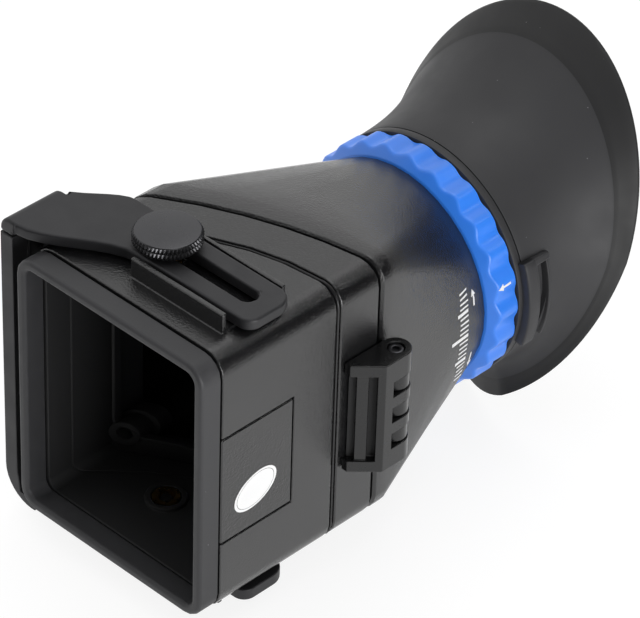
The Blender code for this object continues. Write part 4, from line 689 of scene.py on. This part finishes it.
class LOUPE_OT_bracket(bpy.types.Operator):
    """Make the slotted clamp bracket and its screws"""

    bl_idname = "loupe.bracket"
    bl_label = "Bracket"

    def execute(self, context):
        edges = context.scene.loupe_edges
        from_node("bracket_frame", edges.bracket)
        from_node("bracket_top_arm", edges.arm, segments=4)
        paint_nodes(*numbered("bracket_screw", 1, 2))
        return {"FINISHED"}


def level_ring(centre, height, reaches):
    """A level ring of points, each as far from the centre as its reach."""
    return [(centre.x + reach * math.cos(angle), centre.y + reach * math.sin(angle), height)
            for angle, reach in zip(even_angles(len(reaches)), reaches)]


def thumb_screw(node, side, sizes):
    """A flat head with two staggered rows of teeth, and its threaded stud. The side is 1 for a
    head on top and -1 for one underneath."""
    low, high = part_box(node)
    centre = (low + high) / 2
    face, tip = (high.z, low.z) if side > 0 else (low.z, high.z)
    points_per_tooth = 4
    count = sizes.knurls * points_per_tooth
    ease = 0.26 * MM
    middle = sizes.height / 2
    core = sizes.radius - sizes.knurl_depth
    step_radius = 5.6 * MM
    shoulder = sizes.height + 0.6 * MM
    stud, thread_root, stud_end = 1.8 * MM, 1.5 * MM, 1.2 * MM
    threads = 9

    def rounds(*profile):
        return [level_ring(centre, face - side * drop, [radius] * count)
                for radius, drop in profile]

    def knurls(drop, phase):
        """A ring of teeth, turned by a share of their pitch."""
        teeth = [abs(2 * ((index / points_per_tooth + phase) % 1) - 1) for index in range(count)]
        return level_ring(centre, face - side * drop,
                          [sizes.radius - sizes.knurl_depth * tooth for tooth in teeth])

    rings = rounds((0.2 * MM, 0), (core - 0.34 * MM, 0), (core - 0.16 * MM, 0.04 * MM),
                   (core, ease))
    for phase, top, foot in ((0, ease, middle), (0.5, middle, sizes.height - ease)):
        rings += [knurls(top + (foot - top) * share, phase) for share in (0.42, 0.58)]
        rings += rounds((core, foot))
    rings += rounds((core - 0.2 * MM, sizes.height), (step_radius, sizes.height),
                    (step_radius, shoulder), (stud, shoulder))
    pitch = (abs(face - tip) - 0.5 * MM - shoulder) / threads
    for turn in range(threads):
        rings += rounds((stud, shoulder + pitch * (turn + 0.25)),
                        (thread_root, shoulder + pitch * (turn + 0.75)))
    rings.append(level_ring(centre, tip, [stud_end] * count))
    piece = new_piece(node + "_knurled", loop_rings(rings, closed=False), "knob_alloy",
                      node_body(node), SHARP_KNURL)
    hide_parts(node)


class LOUPE_OT_thumb_screws(bpy.types.Operator):
    """Make both thumb screws and finish the inserts that they turn in"""

    bl_idname = "loupe.thumb_screws"
    bl_label = "Thumb screws"

    def execute(self, context):
        for end, side in (("top", 1), ("bottom", -1)):
            thumb_screw("thumb_screw_" + end, side, context.scene.loupe_thumb)
            paint_nodes("threaded_insert_" + end)
        return {"FINISHED"}


def paint_pocket_shade(leaf):
    """Darkens the deep floor of the pocket in the hinge leaf's bevelled face with the flat black lining, as
    painted shade for a deeper pocket's shadow.
    """
    leaf.data.materials.append(finish_for("inner_black"))
    slant = 0.2
    slanted = [face for face in leaf.data.polygons
               if face.normal.x > slant and face.normal.y < -slant]
    outer = max(face.normal.dot(face.center) for face in slanted)
    for face in slanted:
        if face.normal.dot(face.center) < outer - WALL_DEPTH:
            face.material_index = 1


def hinge_pin():
    """The hinge's pin, with a six-sided socket in its head."""
    low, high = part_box("hinge_pin")
    centre = (low + high) / 2
    head = (high.x - low.x) / 2
    shaft = 1.2 * MM
    flat, socket_depth = 0.85 * MM, 0.8 * MM
    count = 48
    hexagon = [flat / math.cos((angle + math.pi / 6) % (math.pi / 3) - math.pi / 6)
               for angle in even_angles(count)]

    def rounds(top, *profile):
        return [level_ring(centre, top - drop, [radius] * count) for radius, drop in profile]

    rings = rounds(high.z, (0.05 * MM, socket_depth))
    rings += [level_ring(centre, high.z - drop, hexagon) for drop in (socket_depth, 0.06 * MM)]
    rings += rounds(high.z, (1.08 * MM, 0), (head - 0.28 * MM, 0), (head - 0.06 * MM, 0.10 * MM),
                    (head, 0.30 * MM), (head, 0.85 * MM), (shaft, 0.9 * MM))
    rings += rounds(low.z, (shaft, -0.2 * MM), (shaft - 0.2 * MM, 0))
    pin = new_piece("hinge_pin_socket_head", loop_rings(rings, closed=False), "steel_pin",
                    node_body("hinge_pin"), SHARP_METAL)
    # The head, which is all that shows of the pin, is as dark as the screws
    pin.data.materials[0] = finish_for("black_steel")
    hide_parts("hinge_pin")


class LOUPE_OT_hinge(bpy.types.Operator):
    """Make the cone's hinge: two leaves, their pin and screws"""

    bl_idname = "loupe.hinge"
    bl_label = "Hinge"

    def execute(self, context):
        edges = context.scene.loupe_edges
        # The fixed leaf's pocket floor is given painted shade: the flat black lining stands in for its shadow
        paint_pocket_shade(from_node("hinge_fixed_leaf", edges.fine))
        from_node("hinge_moving_leaf", edges.fine)
        hinge_pin()
        paint_nodes(*numbered("hinge_screw", 1, 4))
        return {"FINISHED"}


def surface_of(meshes):
    """A search tree over meshes, for print that has to lie on their surface."""
    points = []
    faces = []
    for mesh in meshes:
        start = len(points)
        points += [vertex.co.copy() for vertex in mesh.vertices]
        faces += [[start + corner for corner in face.vertices] for face in mesh.polygons]
    return BVHTree.FromPolygons(points, faces)


def print_patch(name, outline, tree, plane, body, film):
    """A thin film of ink: an outline in a plane, cut fine, dropped onto a surface and thickened.
    The plane is its origin, its two directions and the way to the surface."""
    origin, across, along, direction = plane
    mesh_data = bmesh.new()
    mesh_data.faces.new([mesh_data.verts.new(origin + across * point[0] + along * point[1])
                         for point in outline])
    for way, axis in ((across, 0), (along, 1)):
        low = min(point[axis] for point in outline)
        high = max(point[axis] for point in outline)
        count = min(math.ceil((high - low) / PRINT_CELL), PRINT_CELLS)
        for step in range(1, count):
            bmesh.ops.bisect_plane(
                mesh_data, geom=mesh_data.verts[:] + mesh_data.edges[:] + mesh_data.faces[:],
                plane_co=origin + way * (low + (high - low) * step / count), plane_no=way)
    for vertex in mesh_data.verts:
        hit, normal, _, _ = tree.ray_cast(vertex.co, direction)
        if hit is None:
            raise RuntimeError(f"{name} misses its surface")
        if normal.dot(direction) > 0:
            normal = -normal
        vertex.co = hit + normal * film
    mesh = mesh_from(name, mesh_data)
    if mesh.polygons[0].normal.dot(direction) > 0:
        mesh.flip_normals()
    piece = link_piece(name, mesh, body, "print_ink")
    thick = piece.modifiers.new("ink film", "SOLIDIFY")
    thick.thickness = film * 0.8
    thick.offset = -1
    return piece


def bar_outline(centre, half_length, half_width):
    """A straight line of print, along the first direction."""
    return [(centre[0] + side * half_length, centre[1] + edge * half_width)
            for side, edge in ((-1, -1), (1, -1), (1, 1), (-1, 1))]


def arrow_outline(tail, tip, shaft, head, head_length):
    """An arrow between two points of its plane."""
    tail = Vector(tail)
    tip = Vector(tip)
    forward = (tip - tail).normalized()
    side = Vector((-forward.y, forward.x))
    neck = tip - forward * head_length
    points = [tail - side * shaft / 2, neck - side * shaft / 2, neck - side * head / 2, tip,
              neck + side * head / 2, neck + side * shaft / 2, tail + side * shaft / 2]
    return [(point.x, point.y) for point in points]


class LOUPE_OT_lens_cone(bpy.types.Operator):
    """Make the lens cone and the focusing scale printed on its side"""

    bl_idname = "loupe.lens_cone"
    bl_label = "Lens cone"

    def execute(self, context):
        from_node("cone_housing", context.scene.loupe_edges.seam)
        sizes = context.scene.loupe_print
        tree = surface_of([frame["nodes"]["cone_housing"].data])
        origin = Vector((CAD_BOX[1][0], HOOD_FRONT_Y + sizes.scale_depth,
                         EYE.z - sizes.scale_drop))
        plane = (origin, -REARWARD, UPWARD, -RIGHT)
        outlines = {}
        for place in range(-SCALE_LINES, SCALE_LINES + 1):
            long_share, wide_share = LONG_LINES.get(abs(place), (1.0, 1.0))
            half_length = sizes.tick_length * long_share / 2
            outlines[f"scale_line_{place + SCALE_LINES + 1:02d}"] = bar_outline(
                (half_length, place * sizes.tick_pitch), half_length,
                sizes.tick_width * wide_share / 2)
        tail, tip = (-2.4 * MM, 6.9 * MM), (-2.2 * MM, 11.2 * MM)
        for place, side in ((1, 1), (2, -1)):
            outlines[f"scale_arrow_{place}"] = arrow_outline(
                (tail[0], side * tail[1]), (tip[0], side * tip[1]),
                shaft=0.5 * MM, head=1.7 * MM, head_length=1.5 * MM)
        for name, outline in outlines.items():
            print_patch(name, outline, tree, plane, "cone", film=0.07 * MM)
        return {"FINISHED"}


def soft_least(first, second, ease):
    """The smaller of two radii, rounded where they cross."""
    apart = max(ease - abs(first - second), 0) / ease
    return min(first, second) - apart * apart * ease / 4


def grip_rings(sizes):
    """Rings of the scalloped grip: front bevel, scallops and a softened rear edge."""
    start = RING_END - sizes.length
    points_per_crest, rows = 16, 30
    angles = even_angles(sizes.crests * points_per_crest)
    rings = [[on_axis(sizes.bore_radius, angle, start) for angle in angles]]
    for row in range(rows + 1):
        share = row / rows
        along = sizes.length * (share - math.sin(2 * math.pi * share) / (4 * math.pi))
        bevel = sizes.front_radius + sizes.bevel_slope * along
        rear = sizes.radius - sizes.ease + sizes.rear_slope * (sizes.length - along)
        ring = []
        for angle in angles:
            wave = 0.5 + 0.5 * math.cos(sizes.crests * (angle - sizes.first_crest))
            grip = sizes.radius - sizes.scallop * (1 - wave)
            reach = soft_least(soft_least(grip, rear, sizes.ease), bevel, 2 * sizes.ease)
            ring.append(on_axis(reach, angle, start + along))
        rings.append(ring)
    rings.append([on_axis(sizes.bore_radius, angle, RING_END) for angle in angles])
    return rings


def ring_sleeve(front_y):
    """The ring's hidden sleeve: the node's own form in front of a depth, with its cut closed."""
    sleeve_data = node_mesh("diopter_ring")
    cut = bmesh.ops.bisect_plane(
        sleeve_data, geom=sleeve_data.verts[:] + sleeve_data.edges[:] + sleeve_data.faces[:],
        plane_co=(0, front_y, 0), plane_no=(0, 1, 0), clear_outer=True)
    rim = [part for part in cut["geom_cut"] if isinstance(part, bmesh.types.BMEdge)]
    bmesh.ops.bridge_loops(sleeve_data, edges=rim)
    sleeve = new_piece("focusing_ring_sleeve", sleeve_data, "ring_blue", "focus_ring")
    round_edges(sleeve, 0.1 * MM)


class LOUPE_OT_focusing_ring(bpy.types.Operator):
    """Make the scalloped focusing ring and its printed arrow"""

    bl_idname = "loupe.focusing_ring"
    bl_label = "Focusing ring"

    def execute(self, context):
        sizes = context.scene.loupe_ring
        grip = new_piece("focusing_ring_grip", loop_rings(grip_rings(sizes)), "ring_blue",
                         "focus_ring", SHARP)
        gap = 0.05 * MM
        ring_sleeve(HOOD_FRONT_Y + RING_END - sizes.length - gap)
        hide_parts("diopter_ring")
        arrow_turn = math.radians(16.1)
        outward = RIGHT * math.cos(arrow_turn) + UPWARD * math.sin(arrow_turn)
        upward = UPWARD * math.cos(arrow_turn) - RIGHT * math.sin(arrow_turn)
        origin = Vector((EYE.x, HOOD_FRONT_Y, EYE.z)) + outward * (sizes.radius + 2 * MM)
        tail, tip = (102.0 * MM, 0.25 * MM), (97.9 * MM, -0.1 * MM)
        outline = arrow_outline(tail, tip, shaft=0.55 * MM, head=1.9 * MM, head_length=1.7 * MM)
        print_patch("ring_arrow", outline, surface_of([grip.data]),
                    (origin, REARWARD, upward, -outward), "focus_ring",
                    film=0.06 * MM)
        return {"FINISHED"}


class LOUPE_OT_eyepiece(bpy.types.Operator):
    """Make the eyepiece tube, lens cell, lenses and guide pins"""

    bl_idname = "loupe.eyepiece"
    bl_label = "Eyepiece"

    def execute(self, context):
        edges = context.scene.loupe_edges
        for node in ("eyepiece_tube", "eyecup_mount", "lens_cell", "lens_spacer",
                     "retaining_ring", "front_lens", "rear_lens"):
            from_node(node, edges.fine / 2)
        paint_nodes(*numbered("guide_pin", 1, 3), *numbered("tube_screw", 1, 3))
        return {"FINISHED"}


def cup_angles(sizes):
    """Angles of the flare's columns, with pairs close together at the slot's ends."""
    angles = even_angles(sizes.steps_round)
    turn = STEEP / sizes.neck
    for edge in (LUG_FOOT, LUG_LOW, LUG_CAP):
        angles = [angle for angle in angles if abs(angle - edge % (2 * math.pi)) > 3 * turn]
        angles += [(edge - turn) % (2 * math.pi), (edge + turn) % (2 * math.pi)]
    return sorted(angles)


def flare_depth(sizes, share):
    """The depth of a share of the flare, before it leans."""
    return (CUP_START + sizes.collar + sizes.groove_width
            + (sizes.flare - sizes.groove_width) * share)


def cup_point(sizes, share, angle, inset, proud=0.0, slide=0.0):
    """A point of the flare, from the round neck to the leaning oval rim. The lower half's lean
    fades toward the lower left, down to a floor."""
    fade_start, fade_floor = 0.5, -0.75
    spread = share**sizes.flare_power
    above = math.sin(angle) > 0
    reach = sizes.rim_rise if above else sizes.rim_fall
    lean = sizes.lean_above
    if not above:
        fade = max(min(math.cos(angle) - fade_start, 0), fade_floor)
        lean = sizes.lean_below + sizes.lean_side * fade
    half_width = sizes.neck + (sizes.rim_half_width - sizes.neck) * spread - inset + proud
    half_height = sizes.neck + (reach - sizes.neck) * spread - inset + proud
    depth = flare_depth(sizes, share) + lean * share * half_height * math.sin(angle)
    return (EYE.x + sizes.rim_shift * share + half_width * math.cos(angle),
            HOOD_FRONT_Y + depth + slide,
            EYE.z + sizes.rim_lift * share + half_height * math.sin(angle))


def flare_shares(sizes):
    """Shares of the flare's rows, with pairs close together at the slot's sides."""
    length = sizes.flare - sizes.groove_width
    gap = STEEP / length
    shares = [index / sizes.steps_along for index in range(sizes.steps_along + 1)]
    shares = [share for share in shares if share < 1 - sizes.band / sizes.flare]
    for edge in (LUG_PLATE_BACK, LUG_SLOT_BACK):
        place = (edge - flare_depth(sizes, 0)) / length
        shares = [share for share in shares if abs(share - place) > 3 * gap]
        shares += [place - gap, place + gap]
    return sorted(shares)


def slot_sink(share, angle, sizes):
    """How deep a point of the flare sinks: the slot lies behind and below the lug's plate."""
    turn = (angle + math.pi) % (2 * math.pi) - math.pi
    depth = flare_depth(sizes, share)
    behind = LUG_FOOT < turn < LUG_CAP and LUG_PLATE_BACK < depth < LUG_SLOT_BACK
    below = LUG_FOOT < turn < LUG_LOW and LUG_FOOT_FRONT < depth < LUG_SLOT_BACK
    return SLOT_SINK if behind or below else 0


def cup_rings(sizes):
    """Rings of the eyecup: collar, fine groove, flare, rim band, rolled edge and inner wall."""
    angles = cup_angles(sizes)
    groove_front = sizes.collar - sizes.groove_width / 2
    groove_back = sizes.collar + sizes.groove_width / 2
    band_start = 1 - sizes.band / sizes.flare
    band_front, band_back = band_start + 0.030, 0.955
    steps = 6
    lip, grip = 24.7 * MM, 29.7 * MM
    mount_back = 3.2 * MM

    def circles(*profile):
        """Circles by the change of radius from the collar's, and the depth from its front."""
        return [[on_axis(sizes.neck + change, angle, CUP_START + depth) for angle in angles]
                for change, depth in profile]

    def section(share, inset, proud=0.0, slide=0.0):
        return [cup_point(sizes, share, angle, inset, proud, slide) for angle in angles]

    rings = circles((-0.45 * MM, 0), (-0.12 * MM, 0.1 * MM), (0, 0.4 * MM),
                    (0, groove_front - 0.1 * MM), (-0.06 * MM, groove_front),
                    (-sizes.groove_depth, groove_front), (-sizes.groove_depth, groove_back),
                    (-0.05 * MM, groove_back))
    rings += [[cup_point(sizes, share, angle, slot_sink(share, angle, sizes))
               for angle in angles] for share in flare_shares(sizes)]
    rings += [section(band_start, 0), section(band_start + 0.010, 0, sizes.band_step * 0.2)]
    rings += [section(band_front + (band_back - band_front) * step / steps, 0, sizes.band_step)
              for step in range(steps + 1)]
    rings.append(section(0.985, 0, sizes.band_step * 0.6))
    for step in range(steps + 1):
        turn = math.pi * step / steps
        rings.append(section(1, sizes.wall / 2 * (1 - math.cos(turn)),
                             slide=sizes.wall / 2 * math.sin(turn)))
    rings += [section(share, sizes.wall) for share in (0.95, 0.85, 0.72, 0.58, 0.44, 0.3, 0.16)]
    rings += circles((-2 * sizes.wall, mount_back + 3.8 * MM),
                     (lip - sizes.neck, mount_back + 2.2 * MM), (lip - sizes.neck, mount_back),
                     (grip - sizes.neck, mount_back), (grip - sizes.neck, 0))
    return rings


def curved_bar(angles, depths, radii, ease, steps=16):
    """A bar bent round the optical axis, with rounded outer edges and ends."""
    low, high = angles
    front, back = depths
    inner, outer = radii
    part = 0.3 * ease
    turns = [(low, ease), (low + part / outer, part), (low + ease / outer, 0)]
    span = high - low - 2 * ease / outer
    turns += [(low + ease / outer + span * step / steps, 0) for step in range(1, steps)]
    turns += [(high - ease / outer, 0), (high - part / outer, part), (high, ease)]
    rings = []
    for angle, drop in turns:
        top = outer - drop
        section = ((front, inner), (front, top - ease), (front + part, top - part),
                   (front + ease, top), (back - ease, top), (back - part, top - part),
                   (back, top - ease), (back, inner))
        rings.append([on_axis(radius, angle, depth) for depth, radius in section])
    return loop_rings(rings, closed=False)


class LOUPE_OT_eyecup(bpy.types.Operator):
    """Make the rubber eyecup with its collar, flare, rim band and pull lug"""

    bl_idname = "loupe.eyecup"
    bl_label = "Eyecup"

    def execute(self, context):
        sizes = context.scene.loupe_eyecup
        flare = new_piece("eyecup_rubber_flare", loop_rings(cup_rings(sizes)), "cup_rubber", "cup",
                          SHARP)
        flare.data.materials.append(finish_for("cup_rim"))
        columns = len(cup_angles(sizes))
        first = FLARE_START_ROW + len(flare_shares(sizes)) + 1
        for face in flare.data.polygons:
            if first <= face.index // columns < first + RIM_ROWS:
                face.material_index = 1
        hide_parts("eyecup")
        root = sizes.neck - 1.2 * MM
        top = sizes.lug_radius
        for part, angles, depths, outer, ease in (
                ("plate", (LUG_LOW, LUG_HIGH), (LUG_FRONT, LUG_PLATE_BACK), top, 0.45 * MM),
                ("cap", (LUG_CAP, LUG_HIGH), (LUG_FRONT + 0.1 * MM, LUG_BACK), top - 0.1 * MM,
                 0.4 * MM),
                ("rim", (LUG_FOOT, LUG_HIGH), (LUG_SLOT_BACK, LUG_BACK), top - 0.9 * MM,
                 0.2 * MM)):
            new_piece("eyecup_lug_" + part, curved_bar(angles, depths, (root, outer), ease),
                      "cup_rubber", "cup", SHARP)
        return {"FINISHED"}


class LOUPE_OT_oval_label(bpy.types.Operator):
    """Stick the plain oval label on the box's side"""

    bl_idname = "loupe.oval_label"
    bl_label = "Oval label"

    def execute(self, context):
        sizes = context.scene.loupe_print
        tree = surface_of([frame["nodes"][node].data for node in ("front_shell", "side_cover")])
        centre = Vector((CAD_BOX[1][0], HOOD_FRONT_Y + sizes.label_depth,
                         BOX_MIDDLE_Z - sizes.label_drop))
        steps = 72
        tilt = Matrix.Rotation(sizes.label_tilt, 2)
        outline = [tuple(tilt @ Vector((sizes.label_half_length * math.cos(angle),
                                        sizes.label_half_width * math.sin(angle))))
                   for angle in even_angles(steps)]
        label = print_patch("oval_label", outline, tree, (centre, REARWARD, UPWARD, -RIGHT),
                            "screen_box", film=0.08 * MM)
        centre.x = max(vertex.co.x for vertex in label.data.vertices)
        label.data.materials[0] = label_vinyl(centre, sizes)
        return {"FINISHED"}


class LOUPE_OT_stage(bpy.types.Operator):
    """Set the floor, soft lamps, world and camera"""

    bl_idname = "loupe.stage"
    bl_label = "Stage"

    def execute(self, context):
        stage = context.scene.loupe_stage
        make_floor()
        make_world(stage)
        make_lamps(stage)
        make_camera(stage)
        return {"FINISHED"}


def seen_by(tree, *kinds):
    """1 for rays of the named kinds, and 0 for all others."""
    path = add_node(tree, "ShaderNodeLightPath")
    seen = path.outputs[kinds[0]]
    for kind in kinds[1:]:
        seen = add_node(tree, "ShaderNodeMath", {0: seen, 1: path.outputs[kind]},
                        operation="MAXIMUM").outputs["Value"]
    return seen


def make_floor():
    """Pale floor that is seen and mirrored as white, and keeps the loupe's shadow."""
    mesh_data = bmesh.new()
    bmesh.ops.create_grid(mesh_data, x_segments=1, y_segments=1, size=FLOOR_REACH)
    floor = new_object("studio_floor", mesh_from("studio_floor", mesh_data))
    floor.location.z = CAD_BOX[0][2] - 0.05 * MM
    material = bpy.data.materials.new("Card matt white")
    material.use_nodes = True
    tree = material.node_tree
    tree.nodes.clear()
    seen = seen_by(tree, "Is Camera Ray", "Is Glossy Ray", "Is Transmission Ray")
    glow = add_node(tree, "ShaderNodeMath", {0: seen, 1: FLOOR_GLOW}, operation="MULTIPLY")
    cover = add_node(tree, "ShaderNodeMath", {0: seen, 1: FLOOR_SHADE}, operation="MULTIPLY")
    card = add_node(tree, "ShaderNodeBsdfDiffuse", {"Color": opaque(linear("#f4f4f4"))})
    dark = add_node(tree, "ShaderNodeBsdfDiffuse", {"Color": (0, 0, 0, 1)})
    shaded = add_node(tree, "ShaderNodeMixShader",
                      {0: cover.outputs["Value"], 1: card.outputs["BSDF"],
                       2: dark.outputs["BSDF"]})
    white = add_node(tree, "ShaderNodeEmission", {"Strength": glow.outputs["Value"]})
    both = add_node(tree, "ShaderNodeAddShader",
                    {0: shaded.outputs["Shader"], 1: white.outputs["Emission"]})
    add_node(tree, "ShaderNodeOutputMaterial", {"Surface": both.outputs["Shader"]})
    floor.data.materials.append(material)


def make_world(stage):
    """A light tent that is seen as white, and whose dark openings only its reflections show."""
    world = bpy.data.worlds.new("Light tent")
    world.use_nodes = True
    tree = world.node_tree
    tree.nodes.clear()
    way = add_node(tree, "ShaderNodeTexCoord")
    lit = stage.tent_light
    for place, inner, outer, darkness in TENT_OPENINGS:
        toward = add_node(tree, "ShaderNodeVectorMath",
                          {0: way.outputs["Generated"], 1: tuple(Vector(place).normalized())},
                          operation="DOT_PRODUCT")
        share = add_node(tree, "ShaderNodeMapRange",
                         {"Value": toward.outputs["Value"], "From Min": math.cos(outer),
                          "From Max": math.cos(inner), "To Min": 1.0, "To Max": 1 - darkness},
                         interpolation_type="SMOOTHSTEP")
        lit = add_node(tree, "ShaderNodeMath", {0: share.outputs["Result"], 1: lit},
                       operation="MULTIPLY").outputs["Value"]
    seen = seen_by(tree, "Is Camera Ray", "Is Transmission Ray")
    strength = add_node(tree, "ShaderNodeMapRange", {"Value": seen, "To Min": lit, "To Max": 1.0})
    tent = add_node(tree, "ShaderNodeBackground",
                    {"Color": (1, 1, 1, 1), "Strength": strength.outputs["Result"]})
    add_node(tree, "ShaderNodeOutputWorld", {"Surface": tent.outputs["Background"]})
    bpy.context.scene.world = world


def make_lamps(stage):
    """Soft boxes: a large one overhead, one low at the right and a small one behind the right."""
    aim = Vector((0, 0, BOX_MIDDLE_Z))
    for name, place, size, share in SOFT_BOXES:
        lamp = bpy.data.lights.new(name, "AREA")
        lamp.size = size
        lamp.energy = stage.key_power * share
        soft_box = new_object(name, lamp)
        soft_box.location = place
        soft_box.rotation_euler = (aim - Vector(place)).to_track_quat("-Z", "Y").to_euler()


def make_camera(stage):
    """The photograph's viewing angle: a long lens above the box's front right."""
    frame_width, frame_height = 640, 618
    sensor_width = 36.0
    principal_x, principal_y = 295.889, 328.571
    camera = bpy.data.cameras.new("studio_camera")
    camera.sensor_width = sensor_width
    camera.sensor_fit = "HORIZONTAL"
    camera.lens = stage.focal_pixels / frame_width * sensor_width
    camera.shift_x = (frame_width / 2 - principal_x) / frame_width
    camera.shift_y = (principal_y - frame_height / 2) / frame_width
    camera.clip_end = 20.0
    forward = Vector((-math.sin(stage.azimuth) * math.cos(stage.elevation),
                      math.cos(stage.azimuth) * math.cos(stage.elevation),
                      -math.sin(stage.elevation)))
    right = Vector((math.cos(stage.azimuth), math.sin(stage.azimuth), 0))
    upward = right.cross(forward)
    across = right * math.cos(stage.roll) + upward * math.sin(stage.roll)
    above = upward * math.cos(stage.roll) - right * math.sin(stage.roll)
    aim = Vector((0, HOOD_FRONT_Y + stage.aim_depth, BOX_MIDDLE_Z))
    turn = Matrix((across, above, -forward)).transposed().to_4x4()
    holder = new_object("studio_camera", camera)
    holder.matrix_world = Matrix.Translation(aim - forward * stage.distance) @ turn
    bpy.context.scene.camera = holder
    bpy.context.scene.view_settings.view_transform = "Standard"


class LOUPE_PT_panel(bpy.types.Panel):
    """Lists the loupe's pieces in the sidebar"""

    bl_label = "LCD viewfinder loupe"
    bl_idname = "LOUPE_PT_panel"
    bl_space_type = "VIEW_3D"
    bl_region_type = "UI"
    bl_category = "Loupe"

    def draw(self, context):
        for operator in PIECE_OPERATORS:
            self.layout.operator(operator.bl_idname)
        for group in (getattr(context.scene, name) for name in GROUPS):
            box = self.layout.box()
            for name in group.bl_rna.properties.keys():
                if name not in ("rna_type", "name"):
                    box.prop(group, name)


GROUPS = {
    "loupe_finishes": LoupeFinishes,
    "loupe_edges": LoupeEdges,
    "loupe_ring": RingSizes,
    "loupe_eyecup": EyecupSizes,
    "loupe_thumb": ThumbSizes,
    "loupe_print": PrintSizes,
    "loupe_stage": StageSettings,
}
PIECE_OPERATORS = (
    LOUPE_OT_stage, LOUPE_OT_screen_hood, LOUPE_OT_box_shells, LOUPE_OT_light_baffle,
    LOUPE_OT_bracket, LOUPE_OT_thumb_screws, LOUPE_OT_hinge, LOUPE_OT_lens_cone,
    LOUPE_OT_focusing_ring, LOUPE_OT_eyepiece, LOUPE_OT_eyecup, LOUPE_OT_oval_label,
)


def register():
    for name, group in GROUPS.items():
        bpy.utils.register_class(group)
        setattr(bpy.types.Scene, name, PointerProperty(type=group))
    for operator in PIECE_OPERATORS:
        bpy.utils.register_class(operator)
    bpy.utils.register_class(LOUPE_PT_panel)


def unregister():
    bpy.utils.unregister_class(LOUPE_PT_panel)
    for operator in reversed(PIECE_OPERATORS):
        bpy.utils.unregister_class(operator)
    for name, group in reversed(GROUPS.items()):
        delattr(bpy.types.Scene, name)
        bpy.utils.unregister_class(group)


def main():
    register()
    for operator in PIECE_OPERATORS:
        group, call = operator.bl_idname.split(".")
        getattr(getattr(bpy.ops, group), call)()


if __name__ == "__main__":
    main()
